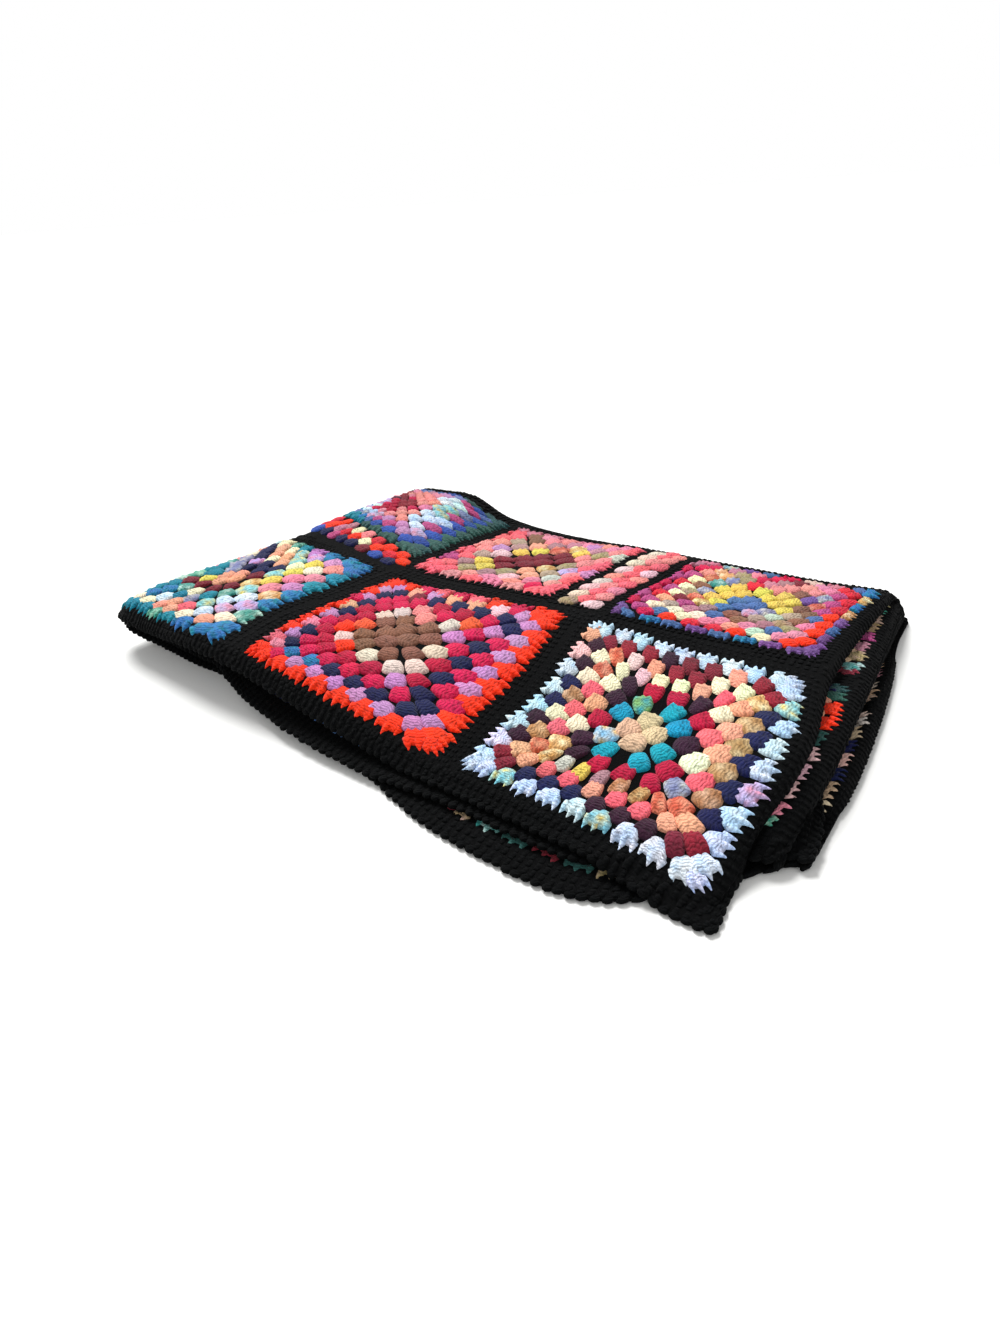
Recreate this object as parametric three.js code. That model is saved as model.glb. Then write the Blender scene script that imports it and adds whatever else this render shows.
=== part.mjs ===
// A granny square blanket, folded in half twice and lying on a table or floor.
//
// The crocheted blanket is one cloth: six by four squares, each with a black last round, joined into
// black bands, and a black edging round the whole. It is folded once across its width, which puts a
// roll at the back, and once along its length, which puts a loop at the left. That leaves four layers
// with their free edges at the front and at the right.
//
// Units are millimetres, +Z is up. While the cloth is laid out, x = 0, y = 0 is the front left corner
// of the top layer's front right square; x grows to the right and y to the back.

import * as THREE from 'three';

// The blanket laid flat.
const SQUARE_SIZE = 230;
const BAND_WIDTH = 27;
const BORDER_WIDTH = 24;
const COLUMNS = 6;
const ROWS = 4;
const LENGTH = COLUMNS * SQUARE_SIZE + (COLUMNS - 1) * BAND_WIDTH + 2 * BORDER_WIDTH;
const WIDTH = ROWS * SQUARE_SIZE + (ROWS - 1) * BAND_WIDTH + 2 * BORDER_WIDTH;

// The thickness of the crochet: the squares stand a little proud of the single rows between them.
const SQUARE_THICKNESS = 5;
const BAND_THICKNESS = 4;
const EDGE_THICKNESS = 3.4;

// The two folds. An arc is the length of cloth that goes round a fold.
const BACK_ARC = 28;
const BACK_REACH = 10;
const LEFT_ARC = 122;
const LEFT_REACH = 42;
const BACK_LINE = 478;
const BACK_RUN = (WIDTH - BACK_ARC) / 2;
const LEFT_RUN = (LENGTH - LEFT_ARC) / 2;

// Layers are counted upwards from the floor, 0 to 3. The levels are their shares of the full height.
const TOP_LAYER = 3;
const LAYER_LEVELS = [0, 0.29, 0.64, 1];

// A layer lies at least this far over the one below, middle to middle, and past that one's edge it
// falls at this slope.
const LAYER_SPACING = 6.3;
const FALL_SLOPE = 0.6;

// The left fold: where the loop starts, by distance from the front.
const LEFT_LINE = [
  { y: 0, x: -462 },
  { y: 60, x: -464 },
  { y: 130, x: -452 },
  { y: 240, x: -444 },
  { y: 360, x: -430 },
  { y: 490, x: -410 },
];

// How far the coloured squares reach to the right, by distance from the front: one column a layer.
const RIGHT_EDGE = [
  { y: -10, layers: [248, 244, 238, 230] },
  { y: 50, layers: [264, 262, 252, 238] },
  { y: 100, layers: [274, 260, 258, 244] },
  { y: 160, layers: [278, 240, 260, 243] },
  { y: 240, layers: [276, 236, 257, 231] },
  { y: 340, layers: [268, 232, 252, 230] },
  { y: 430, layers: [254, 232, 246, 234] },
  { y: 490, layers: [244, 230, 238, 232] },
];

// How far the squares reach to the front, by place along the front: one column a layer.
const FRONT_EDGE = [
  { x: -500, layers: [20, 22, 20, 4] },
  { x: -340, layers: [31, 28, 24, 0] },
  { x: -290, layers: [22, 13, 24, 0] },
  { x: -250, layers: [10, 1, 24, 0] },
  { x: -170, layers: [0, -11, 24, 0] },
  { x: -84, layers: [-7, -14, 24, 0] },
  { x: -40, layers: [-17, -12, 24, 0] },
  { x: 0, layers: [-27, -8, 24, 0] },
  { x: 35, layers: [-32, -6, 26, 0] },
  { x: 123, layers: [-34, -6, 28, -1] },
  { x: 165, layers: [-26, 4, 32, -3] },
  { x: 195, layers: [-8, 24, 40, -6] },
  { x: 230, layers: [30, 54, 56, -9] },
  { x: 275, layers: [84, 84, 72, -4] },
];

// The bend of the black border down from the squares, in degrees at its edge, one column a layer.
const RIGHT_BEND = [
  { y: -20, layers: [20, 30, 40, 50] },
  { y: 60, layers: [70, 40, 80, 130] },
  { y: 140, layers: [120, 40, 110, 130] },
  { y: 400, layers: [120, 40, 100, 130] },
  { y: 490, layers: [60, 40, 60, 90] },
];
const FRONT_BEND = [
  { x: -500, layers: [10, 20, 30, 70] },
  { x: -284, layers: [8, 14, 30, 60] },
  { x: -140, layers: [8, 10, 30, 52] },
  { x: 0, layers: [6, 8, 30, 36] },
  { x: 120, layers: [6, 8, 30, 30] },
  { x: 240, layers: [6, 20, 30, 36] },
];

// How far the bands between the squares wander along the length from where an even cloth has them.
const BAND_DRIFT = [
  { x: -440, shift: 0 },
  { x: -370, shift: -20 },
  { x: -280, shift: -20 },
  { x: -140, shift: -9 },
  { x: 0, shift: 0 },
];

// Height of the upper side over the floor: a row for each place along the length, a column for each
// distance from the front in HEIGHT_DEPTHS.
const HEIGHT_DEPTHS = [-20, 60, 115, 180, 243, 310, 372, 430, 487];
const TOP_HEIGHTS = [
  { x: -500, depths: [58, 60, 58, 56, 56, 58, 56, 54, 52] },
  { x: -400, depths: [60, 62, 62, 57, 56, 58, 60, 60, 57] },
  { x: -340, depths: [64, 67, 66, 61, 55, 55, 60, 63, 57] },
  { x: -284, depths: [63, 66, 64, 58, 51, 46, 44, 42, 34] },
  { x: -215, depths: [54, 60, 61, 55, 47, 42, 37, 33, 25] },
  { x: -142, depths: [42, 54, 58, 56, 50, 42, 36, 31, 24] },
  { x: -70, depths: [30, 42, 50, 54, 52, 46, 40, 38, 27] },
  { x: -13, depths: [23, 33, 42, 50, 54, 50, 43, 41, 28] },
  { x: 60, depths: [22, 28, 35, 46, 53, 50, 43, 42, 29] },
  { x: 115, depths: [20, 27, 36, 46, 53, 50, 44, 43, 30] },
  { x: 180, depths: [13, 29, 43, 52, 56, 52, 46, 45, 32] },
  { x: 240, depths: [5, 34, 50, 55, 58, 56, 52, 49, 36] },
  { x: 290, depths: [5, 34, 50, 55, 58, 56, 52, 49, 36] },
];

// Where the lowest layer leaves the floor: under the loop at the left and along the right edge.
const LOOP_LIFT = 15;
const LOOP_LIFT_START = -350;
const LOOP_LIFT_END = -480;
const SIDE_LIFT = 10;
const SIDE_LIFT_START = 258;
const SIDE_LIFT_END = 278;
const SIDE_LIFT_DEPTHS = [100, 150, 380, 460];

// The mesh: the longest cell on the flat runs and round the folds.
const RUN_STEP = 46;
const ARC_STEP = 8.5;
const PROBE = 0.5;

// The edge tables need a point's place, which they give, so the place is found in a few passes.
const PLACE_PASSES = 4;

const YARN = new THREE.MeshStandardMaterial({ color: 0x1b1b20, roughness: 0.9, metalness: 0 });

/** A smooth 0 to 1 step as value goes from start to end. */
function smoothStep(start, end, value) {
  const share = THREE.MathUtils.clamp((value - start) / (end - start), 0, 1);
  return share * share * (3 - 2 * share);
}

/** Reads a table of numbers at a place between its stations, along a smooth curve through them. */
function readCurve(stations, values, place) {
  const last = stations.length - 1;
  if (place <= stations[0]) return values[0];
  if (place >= stations[last]) return values[last];
  let left = 0;
  while (stations[left + 1] < place) left += 1;
  const right = left + 1;
  const span = stations[right] - stations[left];
  const share = (place - stations[left]) / span;
  const before = Math.max(left - 1, 0);
  const after = Math.min(right + 1, last);
  const slopeLeft = (values[right] - values[before]) / (stations[right] - stations[before]);
  const slopeRight = (values[after] - values[left]) / (stations[after] - stations[left]);
  const square = share * share;
  const cube = square * share;
  return (2 * cube - 3 * square + 1) * values[left] + (cube - 2 * square + share) * span * slopeLeft
    + (3 * square - 2 * cube) * values[right] + (cube - square) * span * slopeRight;
}

/** Reads one column of a table at a place along another. */
function readColumn(table, key, column, place) {
  return readCurve(table.map((row) => row[key]), table.map((row) => row[column]), place);
}

/** Reads one number a layer at a height between the layers. */
function readLayer(values, layer) {
  const below = Math.min(Math.floor(layer), TOP_LAYER - 1);
  const share = layer - below;
  return values[below] * (1 - share) + values[below + 1] * share;
}

/** Reads an edge table at a layer and a place along that edge. */
function readEdge(table, key, layer, place) {
  const stations = table.map((row) => row[key]);
  const values = table.map((row) => readLayer(row.layers, layer));
  return readCurve(stations, values, place);
}

/** Height of the upper side of the whole blanket at a place. */
function topHeight(x, y) {
  const stations = TOP_HEIGHTS.map((row) => row.x);
  const values = TOP_HEIGHTS.map((row) => readCurve(HEIGHT_DEPTHS, row.depths, y));
  return readCurve(stations, values, x);
}

/** Height of the floor side of the lowest layer at a place. */
function floorLift(x, y) {
  const loop = LOOP_LIFT * smoothStep(LOOP_LIFT_START, LOOP_LIFT_END, x);
  const [start, full, ending, end] = SIDE_LIFT_DEPTHS;
  const along = smoothStep(start, full, y) * (1 - smoothStep(ending, end, y));
  return loop + SIDE_LIFT * along * smoothStep(SIDE_LIFT_START, SIDE_LIFT_END, x);
}

/** The reach and drop of the border at a distance past the squares, for its bend at the edge. */
function borderBend(distance, degrees) {
  const curvature = THREE.MathUtils.degToRad(degrees) / BORDER_WIDTH;
  return {
    reach: Math.sin(curvature * distance) / curvature,
    drop: (1 - Math.cos(curvature * distance)) / curvature,
  };
}

/**
 * Height of the middle of one layer at a place, from how far that place lies in its two borders. It
 * is held up by each layer below, and falls away past their edges.
 */
function layerHeight(layer, x, y, pastRight, pastFront) {
  const lowest = floorLift(x, y) + SQUARE_THICKNESS / 2;
  const highest = topHeight(x, y) - SQUARE_THICKNESS / 2;
  const rightDrop = borderBend(pastRight, readEdge(RIGHT_BEND, 'y', layer, y)).drop;
  const frontDrop = borderBend(pastFront, readEdge(FRONT_BEND, 'x', layer, x)).drop;
  const free = lowest + LAYER_LEVELS[layer] * (highest - lowest) - Math.max(rightDrop, frontDrop);
  let height = Math.max(free, SQUARE_THICKNESS / 2);
  for (let below = 0; below < layer; below += 1) {
    const pastRightBelow = x - readEdge(RIGHT_EDGE, 'y', below, y);
    const pastFrontBelow = readEdge(FRONT_EDGE, 'x', below, x) - y;
    const outside = Math.max(pastRightBelow, pastFrontBelow, BORDER_WIDTH) - BORDER_WIDTH;
    const inRight = THREE.MathUtils.clamp(pastRightBelow, 0, BORDER_WIDTH);
    const inFront = THREE.MathUtils.clamp(pastFrontBelow, 0, BORDER_WIDTH);
    const support = layerHeight(below, x, y, inRight, inFront) + LAYER_SPACING;
    height = Math.max(height, support - FALL_SLOPE * outside);
  }
  return height;
}

/**
 * One fold of the cloth in half. Gives the side of the fold as a cosine, 1 on the near run and -1 on
 * the far one, how far round the fold the place bulges, and its distance from the free edge.
 */
function foldInHalf(place, total, run) {
  const arc = total - 2 * run;
  const angle = Math.PI * THREE.MathUtils.clamp((place - run) / arc, 0, 1);
  return { side: Math.cos(angle), bulge: Math.sin(angle), fromEdge: Math.min(place, total - place, run) };
}

/** The middle of the cloth's thickness at s along its length and t across its width, once folded. */
function middleOfCloth(s, t) {
  const back = foldInHalf(t, WIDTH, BACK_RUN);
  const left = foldInHalf(s, LENGTH, LEFT_RUN);
  const outward = back.side / 2;
  const layer = TOP_LAYER / 2 + (1 + outward) * left.side;

  const pastRight = Math.max(BORDER_WIDTH - left.fromEdge, 0);
  const pastFront = Math.max(BORDER_WIDTH - back.fromEdge, 0);
  const alongRun = Math.max(left.fromEdge - BORDER_WIDTH, 0) / (LEFT_RUN - BORDER_WIDTH);
  const acrossRun = Math.max(back.fromEdge - BORDER_WIDTH, 0) / (BACK_RUN - BORDER_WIDTH);

  const bulgeReach = LEFT_REACH * left.bulge * (1 + outward) / (TOP_LAYER / 2);
  let x = THREE.MathUtils.lerp(SQUARE_SIZE, LEFT_LINE[0].x, alongRun);
  let y = acrossRun * BACK_LINE;
  for (let pass = 0; pass < PLACE_PASSES; pass += 1) {
    const rightReach = borderBend(pastRight, readEdge(RIGHT_BEND, 'y', layer, y)).reach;
    const frontReach = borderBend(pastFront, readEdge(FRONT_BEND, 'x', layer, x)).reach;
    const rightEdge = readEdge(RIGHT_EDGE, 'y', layer, y);
    const leftLine = readColumn(LEFT_LINE, 'y', 'x', y);
    const evenX = THREE.MathUtils.lerp(rightEdge, leftLine, alongRun);
    x = evenX + readColumn(BAND_DRIFT, 'x', 'shift', evenX) + rightReach - bulgeReach;
    const frontEdge = readEdge(FRONT_EDGE, 'x', layer, x);
    y = THREE.MathUtils.lerp(frontEdge, BACK_LINE, acrossRun) - frontReach + BACK_REACH * back.bulge;
  }

  const below = Math.min(Math.floor(layer), TOP_LAYER - 1);
  const heights = [below, below + 1].map((whole) => layerHeight(whole, x, y, pastRight, pastFront));
  const z = THREE.MathUtils.lerp(heights[0], heights[1], layer - below);
  return new THREE.Vector3(x, y, z);
}

/** The direction out of the blanket's outer face at a place, square to the cloth. */
function outwardNormal(s, t) {
  const alongLength = middleOfCloth(s + PROBE, t).sub(middleOfCloth(s - PROBE, t));
  const alongWidth = middleOfCloth(s, t + PROBE).sub(middleOfCloth(s, t - PROBE));
  return alongWidth.cross(alongLength).normalize();
}

/** The places of the squares' edges and the bands' middles along one side of the flat blanket. */
function panelLines(count, total) {
  const lines = [0, total];
  for (let index = 0; index < count; index += 1) {
    const start = BORDER_WIDTH + index * (SQUARE_SIZE + BAND_WIDTH);
    lines.push(start, start + SQUARE_SIZE);
    if (index > 0) lines.push(start - BAND_WIDTH / 2);
  }
  return lines;
}

/** The mesh lines along one side: the panel lines and the fold's ends, with even cells between them. */
function meshLines(count, total, run) {
  const fixed = [...panelLines(count, total), run, total - run].sort((a, b) => a - b);
  const lines = [fixed[0]];
  for (let index = 1; index < fixed.length; index += 1) {
    const start = fixed[index - 1];
    const gap = fixed[index] - start;
    if (gap < 1) continue;
    const middle = start + gap / 2;
    const onFold = middle > run && middle < total - run;
    const cells = Math.ceil(gap / (onFold ? ARC_STEP : RUN_STEP));
    for (let cell = 1; cell <= cells; cell += 1) lines.push(start + (gap * cell) / cells);
  }
  return lines;
}

/** Thickness of the cloth: full on the squares, less on the bands' middles, least at the edges. */
function thicknessAlong(place, count, total) {
  if (place < 1 || place > total - 1) return EDGE_THICKNESS;
  const pitch = SQUARE_SIZE + BAND_WIDTH;
  const fromMiddle = (place - BORDER_WIDTH + BAND_WIDTH / 2) % pitch;
  const toBand = Math.min(fromMiddle, pitch - fromMiddle) / (BAND_WIDTH / 2);
  const onOuterEdge = place <= BORDER_WIDTH || place >= total - BORDER_WIDTH;
  if (onOuterEdge) return SQUARE_THICKNESS;
  return THREE.MathUtils.lerp(BAND_THICKNESS, SQUARE_THICKNESS, Math.min(toBand, 1));
}

/** The folded blanket as one closed mesh: an outer face, an inner face and a rim round their edge. */
function makeBlanket() {
  const lengthLines = meshLines(COLUMNS, LENGTH, LEFT_RUN);
  const widthLines = meshLines(ROWS, WIDTH, BACK_RUN);
  const across = widthLines.length;
  const faceSize = lengthLines.length * across;
  const points = new Float32Array(2 * faceSize * 3);
  lengthLines.forEach((s, i) => widthLines.forEach((t, j) => {
    const middle = middleOfCloth(s, t);
    const normal = outwardNormal(s, t);
    const thickness = Math.min(thicknessAlong(s, COLUMNS, LENGTH), thicknessAlong(t, ROWS, WIDTH));
    for (const [face, direction] of [[0, 1], [1, -1]]) {
      const point = middle.clone().addScaledVector(normal, (direction * thickness) / 2);
      const onFloor = face === 0 && point.z < 1 && middle.z < SQUARE_THICKNESS / 2 + 0.01;
      if (onFloor || point.z < 0) point.z = 0;
      point.toArray(points, 3 * (face * faceSize + i * across + j));
    }
  }));

  const triangles = [];
  const addQuad = (a, b, c, d) => triangles.push(a, b, c, a, c, d);
  for (let i = 0; i < lengthLines.length - 1; i += 1) {
    for (let j = 0; j < across - 1; j += 1) {
      const corner = i * across + j;
      addQuad(corner, corner + 1, corner + across + 1, corner + across);
      const inner = corner + faceSize;
      addQuad(inner, inner + across, inner + across + 1, inner + 1);
    }
  }
  const lastRow = (lengthLines.length - 1) * across;
  for (let j = 0; j < across - 1; j += 1) {
    addQuad(j, j + faceSize, j + 1 + faceSize, j + 1);
    addQuad(lastRow + j, lastRow + j + 1, lastRow + j + 1 + faceSize, lastRow + j + faceSize);
  }
  for (let i = 0; i < lengthLines.length - 1; i += 1) {
    const front = i * across;
    const frontNext = front + across;
    addQuad(front, frontNext, frontNext + faceSize, front + faceSize);
    const back = front + across - 1;
    const backNext = back + across;
    addQuad(back, back + faceSize, backNext + faceSize, backNext);
  }

  const geometry = new THREE.BufferGeometry();
  geometry.setAttribute('position', new THREE.BufferAttribute(points, 3));
  geometry.setIndex(triangles);
  geometry.computeBoundingBox();
  const centre = geometry.boundingBox.getCenter(new THREE.Vector3());
  geometry.translate(-centre.x, -centre.y, 0);
  geometry.computeVertexNormals();
  const blanket = new THREE.Mesh(geometry, YARN);
  blanket.name = 'blanket';
  return blanket;
}

const foldedBlanket = new THREE.Group();
foldedBlanket.add(makeBlanket());

export default foldedBlanket;
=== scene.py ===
import math

import bpy
import numpy as np
from mathutils import Matrix, Vector


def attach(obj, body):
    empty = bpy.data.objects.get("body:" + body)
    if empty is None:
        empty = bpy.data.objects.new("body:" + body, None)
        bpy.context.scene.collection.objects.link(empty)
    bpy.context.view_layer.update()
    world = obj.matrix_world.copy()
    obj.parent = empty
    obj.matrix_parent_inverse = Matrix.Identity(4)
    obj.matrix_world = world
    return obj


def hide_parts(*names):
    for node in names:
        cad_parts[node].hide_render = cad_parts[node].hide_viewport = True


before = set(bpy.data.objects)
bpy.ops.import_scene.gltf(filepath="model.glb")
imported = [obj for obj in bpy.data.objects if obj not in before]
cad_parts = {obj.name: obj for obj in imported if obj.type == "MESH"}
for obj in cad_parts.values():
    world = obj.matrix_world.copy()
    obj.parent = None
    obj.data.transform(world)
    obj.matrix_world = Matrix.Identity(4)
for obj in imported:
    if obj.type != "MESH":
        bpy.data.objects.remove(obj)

bl_info = {
    "name": "Folded granny square blanket",
    "version": (1, 0, 0),
    "blender": (4, 5, 0),
    "location": "3D View > Sidebar > Blanket",
    "description": "Makes a crocheted granny square blanket, folded in half twice",
    "category": "Add Mesh",
}

# All sizes are in millimetres until a mesh is made. The cloth is described flat by s, along its
# length, and t, across its width. While it is laid out folded, x = 0, y = 0 is the front left corner
# of the top layer's front right square, x grows to the right and y to the back.
MM = 0.001

# The flat cloth: squares, the black bands between them and the border round them all.
SQUARE = 230.0
BAND = 27.0
BORDER = 24.0
COLUMNS = 6
ROWS = 4
PITCH = SQUARE + BAND
LENGTH = COLUMNS * SQUARE + (COLUMNS - 1) * BAND + 2 * BORDER
WIDTH = ROWS * SQUARE + (ROWS - 1) * BAND + 2 * BORDER
THICKNESS = 5.0

# The two folds: the cloth that goes round each, how far it bulges, and the run up to it.
BACK_ARC = 28.0
BACK_REACH = 10.0
LEFT_ARC = 122.0
LEFT_REACH = 42.0
BACK_RUN = (WIDTH - BACK_ARC) / 2
LEFT_RUN = (LENGTH - LEFT_ARC) / 2

# Layers count upwards from the floor, 0 to 3, and tables hold one column a layer.
TOP_LAYER = 3
# Each layer's share of the full height, the least space from a layer to the next one up, and how
# fast the upper one may fall beyond the lower one's edge.
LAYER_LEVELS = (0, 0.29, 0.64, 1)
LAYER_SPACING = 6.3
FALL_SLOPE = 0.6
# Where the runs end: y at the back fold, x at the left fold by y and, before the borders, x at each
# right edge by y and y at each front edge by x.
BACK_LINE = 478.0
LEFT_LINE = {0: -462, 60: -464, 130: -452, 240: -444, 360: -430, 490: -410}
RIGHT_EDGE = {
    -10: (248, 244, 238, 230), 50: (264, 262, 252, 238), 100: (274, 260, 258, 244),
    160: (278, 240, 260, 243), 240: (276, 236, 257, 231), 340: (268, 232, 252, 230),
    430: (254, 232, 246, 234), 490: (244, 230, 238, 232),
}
FRONT_EDGE = {
    -500: (20, 22, 20, 4), -340: (31, 28, 24, 0), -290: (22, 13, 24, 0), -250: (10, 1, 24, 0),
    -170: (0, -11, 24, 0), -84: (-7, -14, 24, 0), -40: (-17, -12, 24, 0), 0: (-27, -8, 24, 0),
    35: (-32, -6, 26, 0), 123: (-34, -6, 28, -1), 165: (-26, 4, 32, -3), 195: (-8, 24, 40, -6),
    230: (30, 54, 56, -9), 275: (84, 84, 72, -4),
}
# How many degrees each border bends down: at the right by y, and at the front by x.
RIGHT_BEND = {
    -20: (20, 30, 40, 50), 60: (70, 40, 80, 130), 140: (120, 40, 110, 130),
    400: (120, 40, 100, 130), 490: (60, 40, 60, 90),
}
FRONT_BEND = {
    -500: (10, 20, 30, 70), -284: (8, 14, 30, 60), -140: (8, 10, 30, 52),
    0: (6, 8, 30, 36), 120: (6, 8, 30, 30), 240: (6, 20, 30, 36),
}
# How far the cloth lies in x from its even place, by x.
BAND_DRIFT = {-440: 0, -370: -20, -280: -20, -140: -9, 0: 0}
# Height of the top by x, with one column for each depth y.
HEIGHT_DEPTHS = (-20, 60, 115, 180, 243, 310, 372, 430, 487)
TOP_HEIGHTS = {
    -500: (58, 60, 58, 56, 56, 58, 56, 54, 52), -400: (60, 62, 62, 57, 56, 58, 60, 60, 57),
    -340: (64, 67, 66, 61, 55, 55, 60, 63, 57), -284: (63, 66, 64, 58, 51, 46, 44, 42, 34),
    -215: (54, 60, 61, 55, 47, 42, 37, 33, 25), -142: (42, 54, 58, 56, 50, 42, 36, 31, 24),
    -70: (30, 42, 50, 54, 52, 46, 40, 38, 27), -13: (23, 33, 42, 50, 54, 50, 43, 41, 28),
    60: (22, 28, 35, 46, 53, 50, 43, 42, 29), 115: (20, 27, 36, 46, 53, 50, 44, 43, 30),
    180: (13, 29, 43, 52, 56, 52, 46, 45, 32), 240: (5, 34, 50, 55, 58, 56, 52, 49, 36),
    290: (5, 34, 50, 55, 58, 56, 52, 49, 36),
}
# What lifts the lowest layer off the floor, as a height and where in x it starts and is full: the
# left fold's loop, and a wave at the right side between these depths.
LOOP_LIFT = (15, -350, -480)
SIDE_LIFT = (10, 258, 278)
SIDE_LIFT_DEPTHS = (100, 150, 380, 460)
# x and y depend on each other through the tables, so they are worked out this many times.
PLACE_PASSES = 4
# Steps of the fold surface's samples along s and t: border, run, fold, run, border.
LENGTH_STEPS = (2, 5, 3, 5, 2)
WIDTH_STEPS = (2, 5, 1.4, 5, 2)
# Past the cloth's edge it runs on along its slope over the last of it, this far in.
EDGE_SLOPE_STEP = 4.0

# The middle of the folded blanket's footprint, which is the frame's origin.
FOOTPRINT_MIDDLE = (-110.085, 215.796)


# ---- the folded cloth's surface

def smooth_step(start, end, value):
    """A smooth 0 to 1 step as value goes from start to end."""
    share = np.clip((value - start) / (end - start), 0, 1)
    return share * share * (3 - 2 * share)


def read_curve(stations, values, place):
    """Reads a table at each place, along a smooth curve through its stations."""
    stations = np.asarray(stations, float)
    values = np.asarray(values, float)
    if values.ndim == 1:
        values = np.repeat(values[:, None], len(place), axis=1)
    place = np.clip(place, stations[0], stations[-1])
    left = np.clip(np.searchsorted(stations, place, side="right") - 1, 0, len(stations) - 2)
    right = left + 1
    before = np.maximum(left - 1, 0)
    after = np.minimum(right + 1, len(stations) - 1)
    item = np.arange(len(place))
    at_left, at_right = values[left, item], values[right, item]
    span = stations[right] - stations[left]
    share = (place - stations[left]) / span
    slope_left = (at_right - values[before, item]) / (stations[right] - stations[before])
    slope_right = (values[after, item] - at_left) / (stations[after] - stations[left])
    square, cube = share ** 2, share ** 3
    ends = (2 * cube - 3 * square + 1) * at_left + (3 * square - 2 * cube) * at_right
    slopes = (cube - 2 * square + share) * slope_left + (cube - square) * slope_right
    return ends + span * slopes


def read_table(table, place):
    """Reads a plain table of one number a station."""
    return read_curve(list(table), list(table.values()), place)


def read_edge(table, layer, place):
    """Reads an edge table at a layer, which may lie between two, and a place along that edge."""
    rows = np.array(list(table.values()), float)
    layer = np.broadcast_to(layer, place.shape)
    below = np.minimum(np.floor(layer).astype(int), TOP_LAYER - 1)
    share = layer - below
    values = rows[:, below] * (1 - share) + rows[:, below + 1] * share
    return read_curve(list(table), values, place)


def top_height(x, y):
    """Height of the upper side of the whole blanket."""
    values = np.array([read_curve(HEIGHT_DEPTHS, row, y) for row in TOP_HEIGHTS.values()])
    return read_curve(list(TOP_HEIGHTS), values, x)


def floor_lift(x, y):
    """Height of the floor side of the lowest layer."""
    lift, start, end = LOOP_LIFT
    loop = lift * smooth_step(start, end, x)
    first, full, ending, last = SIDE_LIFT_DEPTHS
    along = smooth_step(first, full, y) * (1 - smooth_step(ending, last, y))
    lift, start, end = SIDE_LIFT
    return loop + lift * along * smooth_step(start, end, x)


def border_bend(distance, degrees):
    """The reach and drop of the border at a distance past the squares, for its bend at the edge."""
    curvature = np.radians(degrees) / BORDER
    return np.sin(curvature * distance) / curvature, (1 - np.cos(curvature * distance)) / curvature


def free_height(layer, x, y, past_right, past_front, lowest, highest):
    """Height of a layer where only its own share of the full height and its borders count."""
    right_drop = border_bend(past_right, read_edge(RIGHT_BEND, layer, y))[1]
    front_drop = border_bend(past_front, read_edge(FRONT_BEND, layer, x))[1]
    free = lowest + LAYER_LEVELS[layer] * (highest - lowest) - np.maximum(right_drop, front_drop)
    return np.maximum(free, THICKNESS / 2)


def layer_heights(x, y, past_right, past_front):
    """Heights of all the layers at a place, each held up by those below it."""
    lowest = floor_lift(x, y) + THICKNESS / 2
    highest = top_height(x, y) - THICKNESS / 2
    supports, heights = [], []
    for layer in range(TOP_LAYER + 1):
        height = free_height(layer, x, y, past_right, past_front, lowest, highest)
        heights.append(np.maximum.reduce([height, *supports]))
        if layer == TOP_LAYER:
            break
        beside = x - read_edge(RIGHT_EDGE, layer, y)
        before = read_edge(FRONT_EDGE, layer, x) - y
        outside = np.maximum(np.maximum(beside, before) - BORDER, 0)
        own = free_height(layer, x, y, np.clip(beside, 0, BORDER), np.clip(before, 0, BORDER),
                          lowest, highest)
        own = np.maximum.reduce([own, *supports])
        supports.append(own + LAYER_SPACING - FALL_SLOPE * outside)
    return np.array(heights)


def fold_in_half(place, total, run):
    """One fold: its side as a cosine, its bulge, and the distance from the free edge."""
    angle = np.pi * np.clip((place - run) / (total - 2 * run), 0, 1)
    return np.cos(angle), np.sin(angle), np.minimum(np.minimum(place, total - place), run)


def middle_of_cloth(s, t):
    """The middle of the cloth's thickness at places s, t, once folded."""
    back_side, back_bulge, from_front = fold_in_half(t, WIDTH, BACK_RUN)
    left_side, left_bulge, from_right = fold_in_half(s, LENGTH, LEFT_RUN)
    outward = back_side / 2
    layer = TOP_LAYER / 2 + (1 + outward) * left_side
    past_right = np.maximum(BORDER - from_right, 0)
    past_front = np.maximum(BORDER - from_front, 0)
    along = np.maximum(from_right - BORDER, 0) / (LEFT_RUN - BORDER)
    across = np.maximum(from_front - BORDER, 0) / (BACK_RUN - BORDER)
    bulge = LEFT_REACH * left_bulge * (1 + outward) / (TOP_LAYER / 2)
    x = SQUARE * (1 - along) + LEFT_LINE[0] * along
    y = across * BACK_LINE
    for _ in range(PLACE_PASSES):
        right_reach = border_bend(past_right, read_edge(RIGHT_BEND, layer, y))[0]
        front_reach = border_bend(past_front, read_edge(FRONT_BEND, layer, x))[0]
        even_x = read_edge(RIGHT_EDGE, layer, y) * (1 - along) + read_table(LEFT_LINE, y) * along
        x = even_x + read_table(BAND_DRIFT, even_x) + right_reach - bulge
        front_edge = read_edge(FRONT_EDGE, layer, x)
        y = front_edge * (1 - across) + BACK_LINE * across - front_reach + BACK_REACH * back_bulge
    heights = layer_heights(x, y, past_right, past_front)
    below = np.minimum(np.floor(layer).astype(int), TOP_LAYER - 1)
    item = np.arange(len(x))
    share = layer - below
    z = heights[below, item] * (1 - share) + heights[below + 1, item] * share
    return np.stack([x, y, z], axis=-1)


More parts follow.
